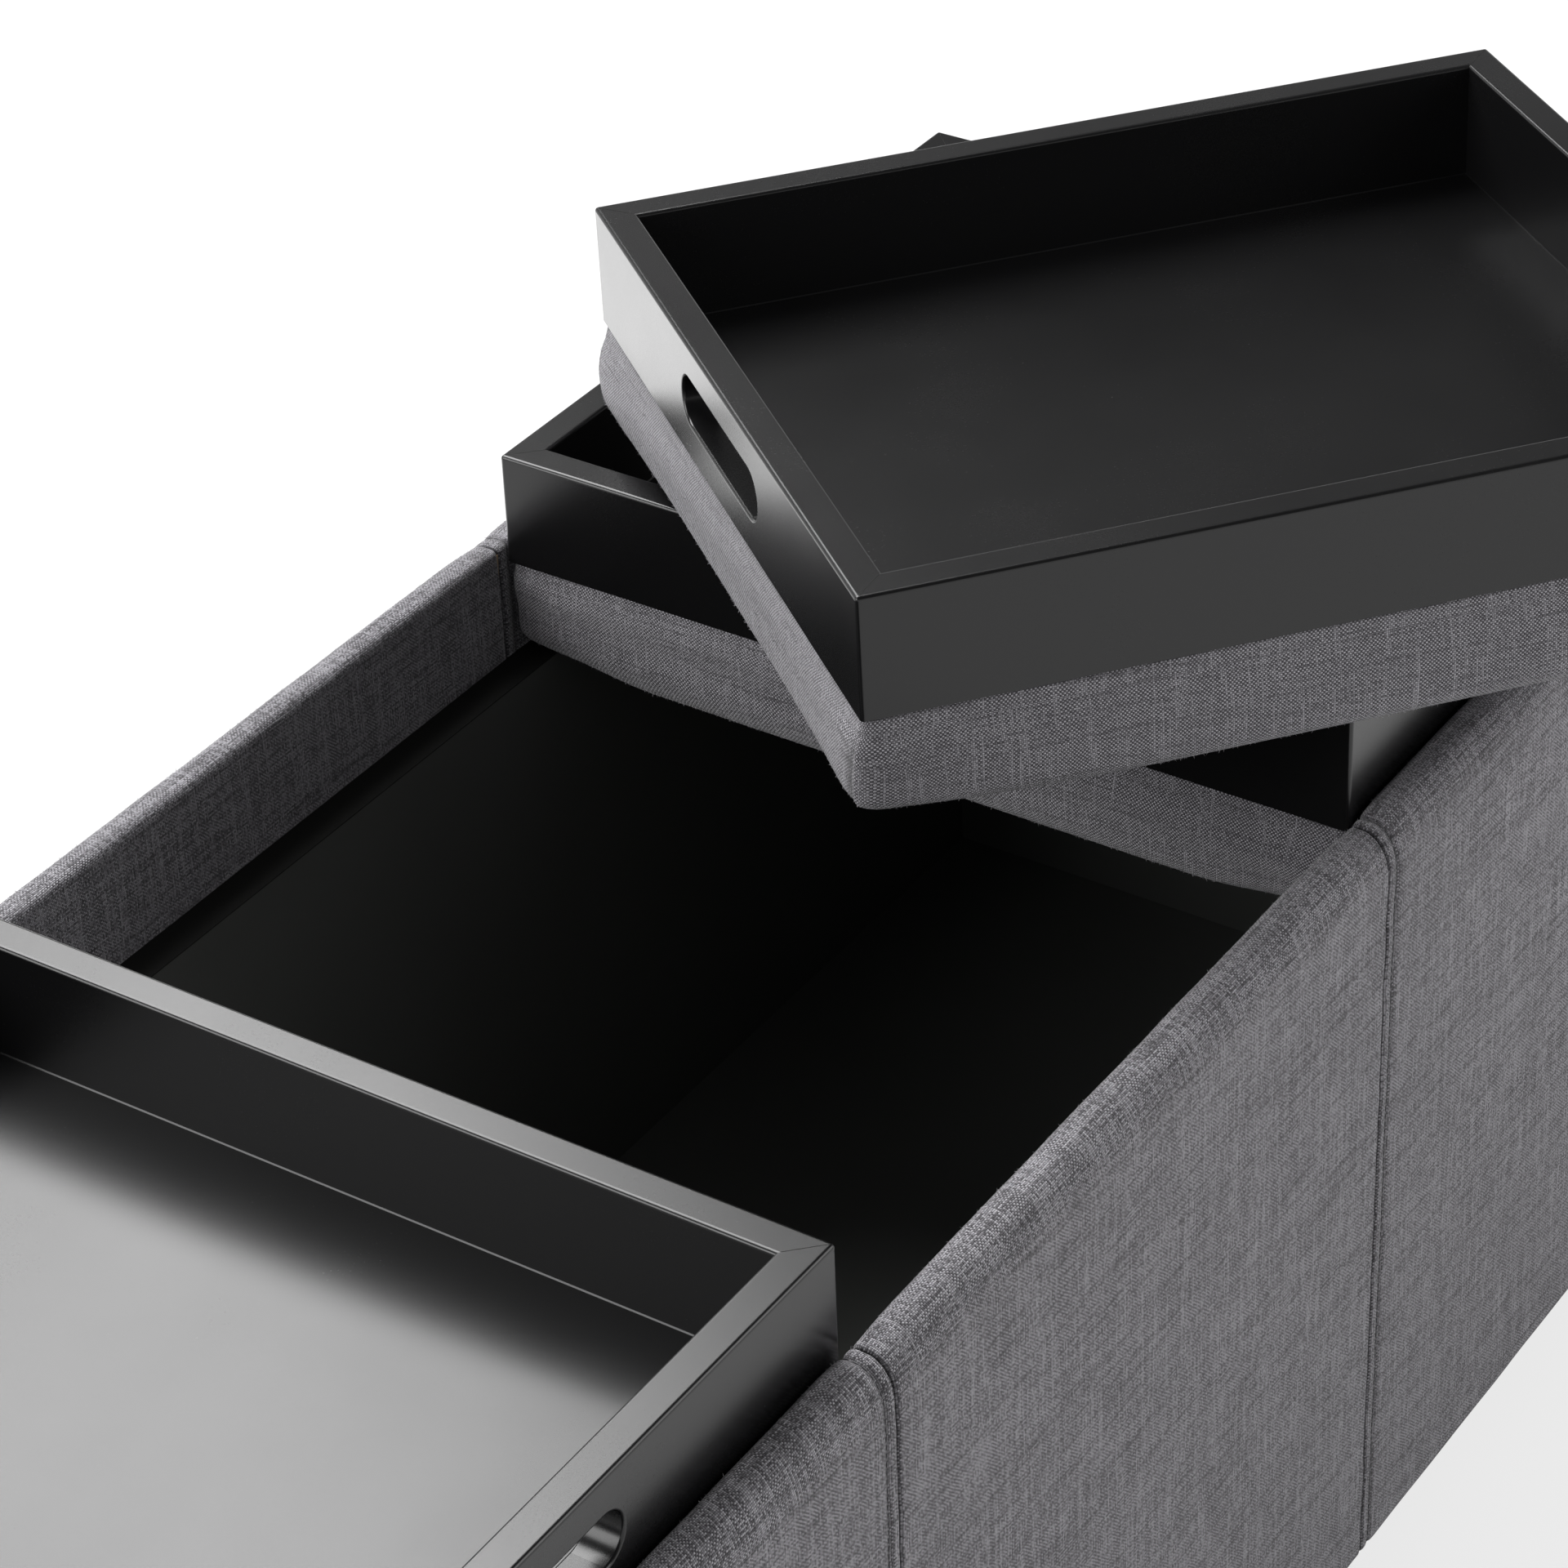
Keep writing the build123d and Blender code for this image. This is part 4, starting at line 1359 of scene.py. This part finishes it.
def grid_lines(low, high, count, extra):
    return sorted({*np.round(np.linspace(low, high, count), GRID_DIGITS), *extra})


def dust_sag(x, y):
    """How far the dust cloth hangs at a place; its edges are held by staples."""
    from_end = 1 - abs(x - DUST_MIDDLE.x) / DUST_HALF.x
    from_side = (1 - abs(y - DUST_MIDDLE.y) / DUST_HALF.y) * DUST_HALF.y / DUST_HALF.x
    uneven = DUST_MEAN_SAG + DUST_UNEVEN_SAG * waves((x, y, 1), DUST_WAVES)
    return DUST_SAG * min(1.0, min(from_end, from_side) * DUST_SLOPE) * uneven


def dust_cloth():
    xs = grid_lines(DUST_LOW.x, DUST_HIGH.x, DUST_COLUMNS, [side for cut in CUTOUTS for side in cut[:2]])
    ys = grid_lines(DUST_LOW.y, DUST_HIGH.y, DUST_ROWS, [side for cut in CUTOUTS for side in cut[2:]])
    net = bmesh.new()
    layer = net.loops.layers.uv.new("cut")
    grid = {(x, y): net.verts.new((x, y, DUST_HIGH.z - dust_sag(x, y))) for x in xs for y in ys}
    fill_grid(net, layer, grid, xs, ys, in_cutout)
    loose = [vertex for vertex in net.verts if not vertex.link_faces]
    bmesh.ops.delete(net, geom=loose, context="VERTS")
    mesh = mesh_of(net, "dust_cloth")
    cloth = new_piece("dust_cloth", mesh, FELT)
    thick_cloth(cloth, DUST_THICKNESS)
    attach(cloth, "bench")
    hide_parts("dust_cover")
    return cloth


dust = dust_cloth()
print(f"Dust cloth: {len(dust.data.polygons)} faces")

# %% [markdown]
# Staples hold the dust cloth along its edges. A staple shows only its crown, a short flat wire, so a small
# box set out along four lines is enough. The lines stop short of the corners, where staples would cross.

# %% Staples
STAPLE_PITCH = 55.0 * MM
STAPLE_INSET = 4.0 * MM
STAPLE_MARGIN = 25.0 * MM
STAPLE_SINK = 0.2 * MM
STAPLE_SIZE = (10.0 * MM, 1.2 * MM, 0.7 * MM)


def staple_tree():
    fasten, start = growing_tree("staple_row", {
        "Line": "Geometry", "Pitch": "Float", "Size": "Vector", "Metal": "Material"}, "Staples")
    wire = fasten.node("GeometryNodeMeshCube", None, {"Size": start.other("Size")})
    layout = {"Instance": wire, **along_line(fasten, start, "X")}
    return set_out(fasten, start.other("Metal"), layout)


def staple_lines():
    level = DUST_HIGH.z - DUST_THICKNESS - STAPLE_SINK
    inset = Vector((STAPLE_INSET, STAPLE_INSET, 0))
    low, high = DUST_LOW + inset, DUST_HIGH - inset
    plan = ((low.x, low.y), (high.x, low.y), (high.x, high.y), (low.x, high.y))
    corners = [Vector((*corner, level)) for corner in plan]
    lines = []
    for first, second in zip(corners, corners[1:] + corners[:1]):
        margin = (second - first).normalized() * STAPLE_MARGIN
        lines.append([first + margin, second - margin])
    return lines


staples = grown("dust_cloth_staples", staple_tree(), line_mesh(staple_lines()), {
    "Pitch": STAPLE_PITCH, "Size": STAPLE_SIZE, "Metal": STEEL})
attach(staples, "bench")
print(f"{len(staples.data.polygons) // 6} staples")

# %% [markdown]
# The stage is a white floor that goes on past the picture. To the camera, and in mirrors, most of it shines
# by itself as white; a quarter of it is plain white paint, so that the object's shadow stays. The white
# backdrop ends above the horizon: over it, the lacquer mirrors a dark ceiling with the soft boxes in it.

# %% Floor and world
FLOOR_REACH = 40.0
FLOOR_GLOW = 0.75
FLOOR_PAINT = colour(0.86, 0.86, 0.86)
WHITE = colour(1, 1, 1)
BLACK = colour(0, 0, 0)
AMBIENT = 0.25
BACKDROP_FADE = (0.1, 0.4)
CEILING_DARK = 0.75


def seen_rays(graph):
    """Rays that come from the camera, a mirror or glass, and of these the ones from a mirror."""
    rays = graph.node("ShaderNodeLightPath")
    mirrored = rays.other("Is Glossy Ray")
    return rays.maths("MAXIMUM", mirrored).maths("MAXIMUM", rays.other("Is Transmission Ray")), mirrored


def pale_floor():
    corners = [(x * FLOOR_REACH, y * FLOOR_REACH, 0) for x, y in ((-1, -1), (1, -1), (1, 1), (-1, 1))]
    mesh = plain_mesh("studio_floor", corners, faces=[(0, 1, 2, 3)])
    material = bpy.data.materials.new("white_floor")
    material.use_nodes = True
    paint = Graph(material.node_tree)
    paint.tree.nodes.clear()
    seen = seen_rays(paint)[0]
    diffuse = paint.node("ShaderNodeBsdfDiffuse", None, {"Color": FLOOR_PAINT})
    glow = paint.node("ShaderNodeEmission", None, {"Color": WHITE, "Strength": 1.0})
    mixed = paint.node("ShaderNodeMixShader", None, {0: seen * FLOOR_GLOW, 1: diffuse, 2: glow})
    paint.node("ShaderNodeOutputMaterial", None, {"Surface": mixed})
    new_piece("studio_floor", mesh, material)


def white_world():
    world = bpy.data.worlds.new("studio")
    world.use_nodes = True
    sky = Graph(world.node_tree)
    sky.tree.nodes.clear()
    seen, mirrored = seen_rays(sky)
    height = sky.axis(sky.node("ShaderNodeTexCoord", None, None, "Generated"), "Z")
    above = sky.node("ShaderNodeMapRange", {"interpolation_type": "SMOOTHSTEP"}, {
        "Value": height, "From Min": BACKDROP_FADE[0], "From Max": BACKDROP_FADE[1]})
    ceiling = above * mirrored
    light = sky.node("ShaderNodeBackground", None, {"Color": WHITE, "Strength": AMBIENT})
    dark = sky.node("ShaderNodeBackground", None, {"Color": BLACK, "Strength": 0.0})
    white = sky.node("ShaderNodeBackground", None, {"Color": WHITE, "Strength": 1.0})
    dimmed = sky.node("ShaderNodeMixShader", None, {0: ceiling * CEILING_DARK, 1: light, 2: dark})
    mixed = sky.node("ShaderNodeMixShader", None, {0: seen - ceiling, 1: dimmed, 2: white})
    sky.node("ShaderNodeOutputWorld", None, {"Surface": mixed})
    bpy.context.scene.world = world


pale_floor()
white_world()
print("Floor and world ready")

# %% [markdown]
# The light follows the reflections in the lacquer. A large soft box stands behind the bench, to the right and
# high up, and gives the trays their sheen. A fill from the front right lights the front face. A lower one
# behind the left end lights the side of the turned tray and the pads that face it. A white card lies on the
# floor behind the bench and throws light up.

# %% Lights
AIM = Vector((0.1, 0.05, 0.42))
BOUNCE_AIM = Vector((0.45, 0.88, AIM.z))


def soft_box(name, heading, elevation, distance, width, height, radiance, aim=AIM):
    """Area light in a direction from the aim; heading in degrees from +X towards +Y. Radiance 1 is white."""
    turn, rise = math.radians(heading), math.radians(elevation)
    away = Vector((math.cos(turn) * math.cos(rise), math.sin(turn) * math.cos(rise), math.sin(rise)))
    lamp = bpy.data.lights.new(name, "AREA")
    lamp.shape = "RECTANGLE"
    lamp.size = width
    lamp.size_y = height
    lamp.energy = radiance * math.pi * width * height
    light = new_piece(name, lamp)
    light.location = aim + away * distance
    light.rotation_euler = away.to_track_quat("Z", "Y").to_euler()
    light.visible_camera = False


soft_box("key_soft_box", heading=68, elevation=53, distance=3.0, width=2.2, height=2.0, radiance=9.8)
soft_box("front_fill", heading=-58, elevation=25, distance=3.0, width=2.0, height=1.6, radiance=3.0)
soft_box("left_fill", heading=150, elevation=24, distance=3.0, width=2.2, height=1.6, radiance=5.3)
soft_box("floor_bounce", heading=0, elevation=-90, distance=0.41, width=1.3, height=1.1, radiance=1.45,
         aim=BOUNCE_AIM)
print("Four lights")

# %% [markdown]
# The camera stands where the photo was taken: in front of the left end, looking down along the bench with a
# long lens. Its place is measured from the left tray: the middle of its right side, at its foot.

# %% Camera
PICTURE = 1920
FOCAL_PIXELS = 5893.71
SENSOR = 36.0
CAMERA_FROM_TRAY = Vector((-0.96067, -0.84289, 1.00511))
CAMERA_AZIMUTH = math.radians(-55.30)
CAMERA_ELEVATION = math.radians(33.99)
CAMERA_ROLL = math.radians(-2.44)


def photo_camera():
    data = bpy.data.cameras.new("photo_camera")
    data.sensor_width = SENSOR
    data.lens = FOCAL_PIXELS / PICTURE * SENSOR
    camera = new_piece("photo_camera", data)
    tray_side = Vector((LID_HIGH.x, (LID_LOW.y + LID_HIGH.y) / 2, LID_LOW.z))
    level = math.cos(CAMERA_ELEVATION)
    back = Vector((math.sin(CAMERA_AZIMUTH) * level, -math.cos(CAMERA_AZIMUTH) * level,
                   math.sin(CAMERA_ELEVATION)))
    right = (-back).cross(Vector((0, 0, 1))).normalized()
    up = right.cross(-back)
    rolled_right = right * math.cos(CAMERA_ROLL) + up * math.sin(CAMERA_ROLL)
    rolled_up = up * math.cos(CAMERA_ROLL) - right * math.sin(CAMERA_ROLL)
    turn = Matrix((rolled_right, rolled_up, back)).transposed()
    camera.matrix_world = Matrix.Translation(tray_side + CAMERA_FROM_TRAY) @ turn.to_4x4()
    bpy.context.scene.camera = camera
    return camera


camera = photo_camera()
bpy.context.scene.view_settings.view_transform = "Standard"
print("Camera lens", round(camera.data.lens, 1))
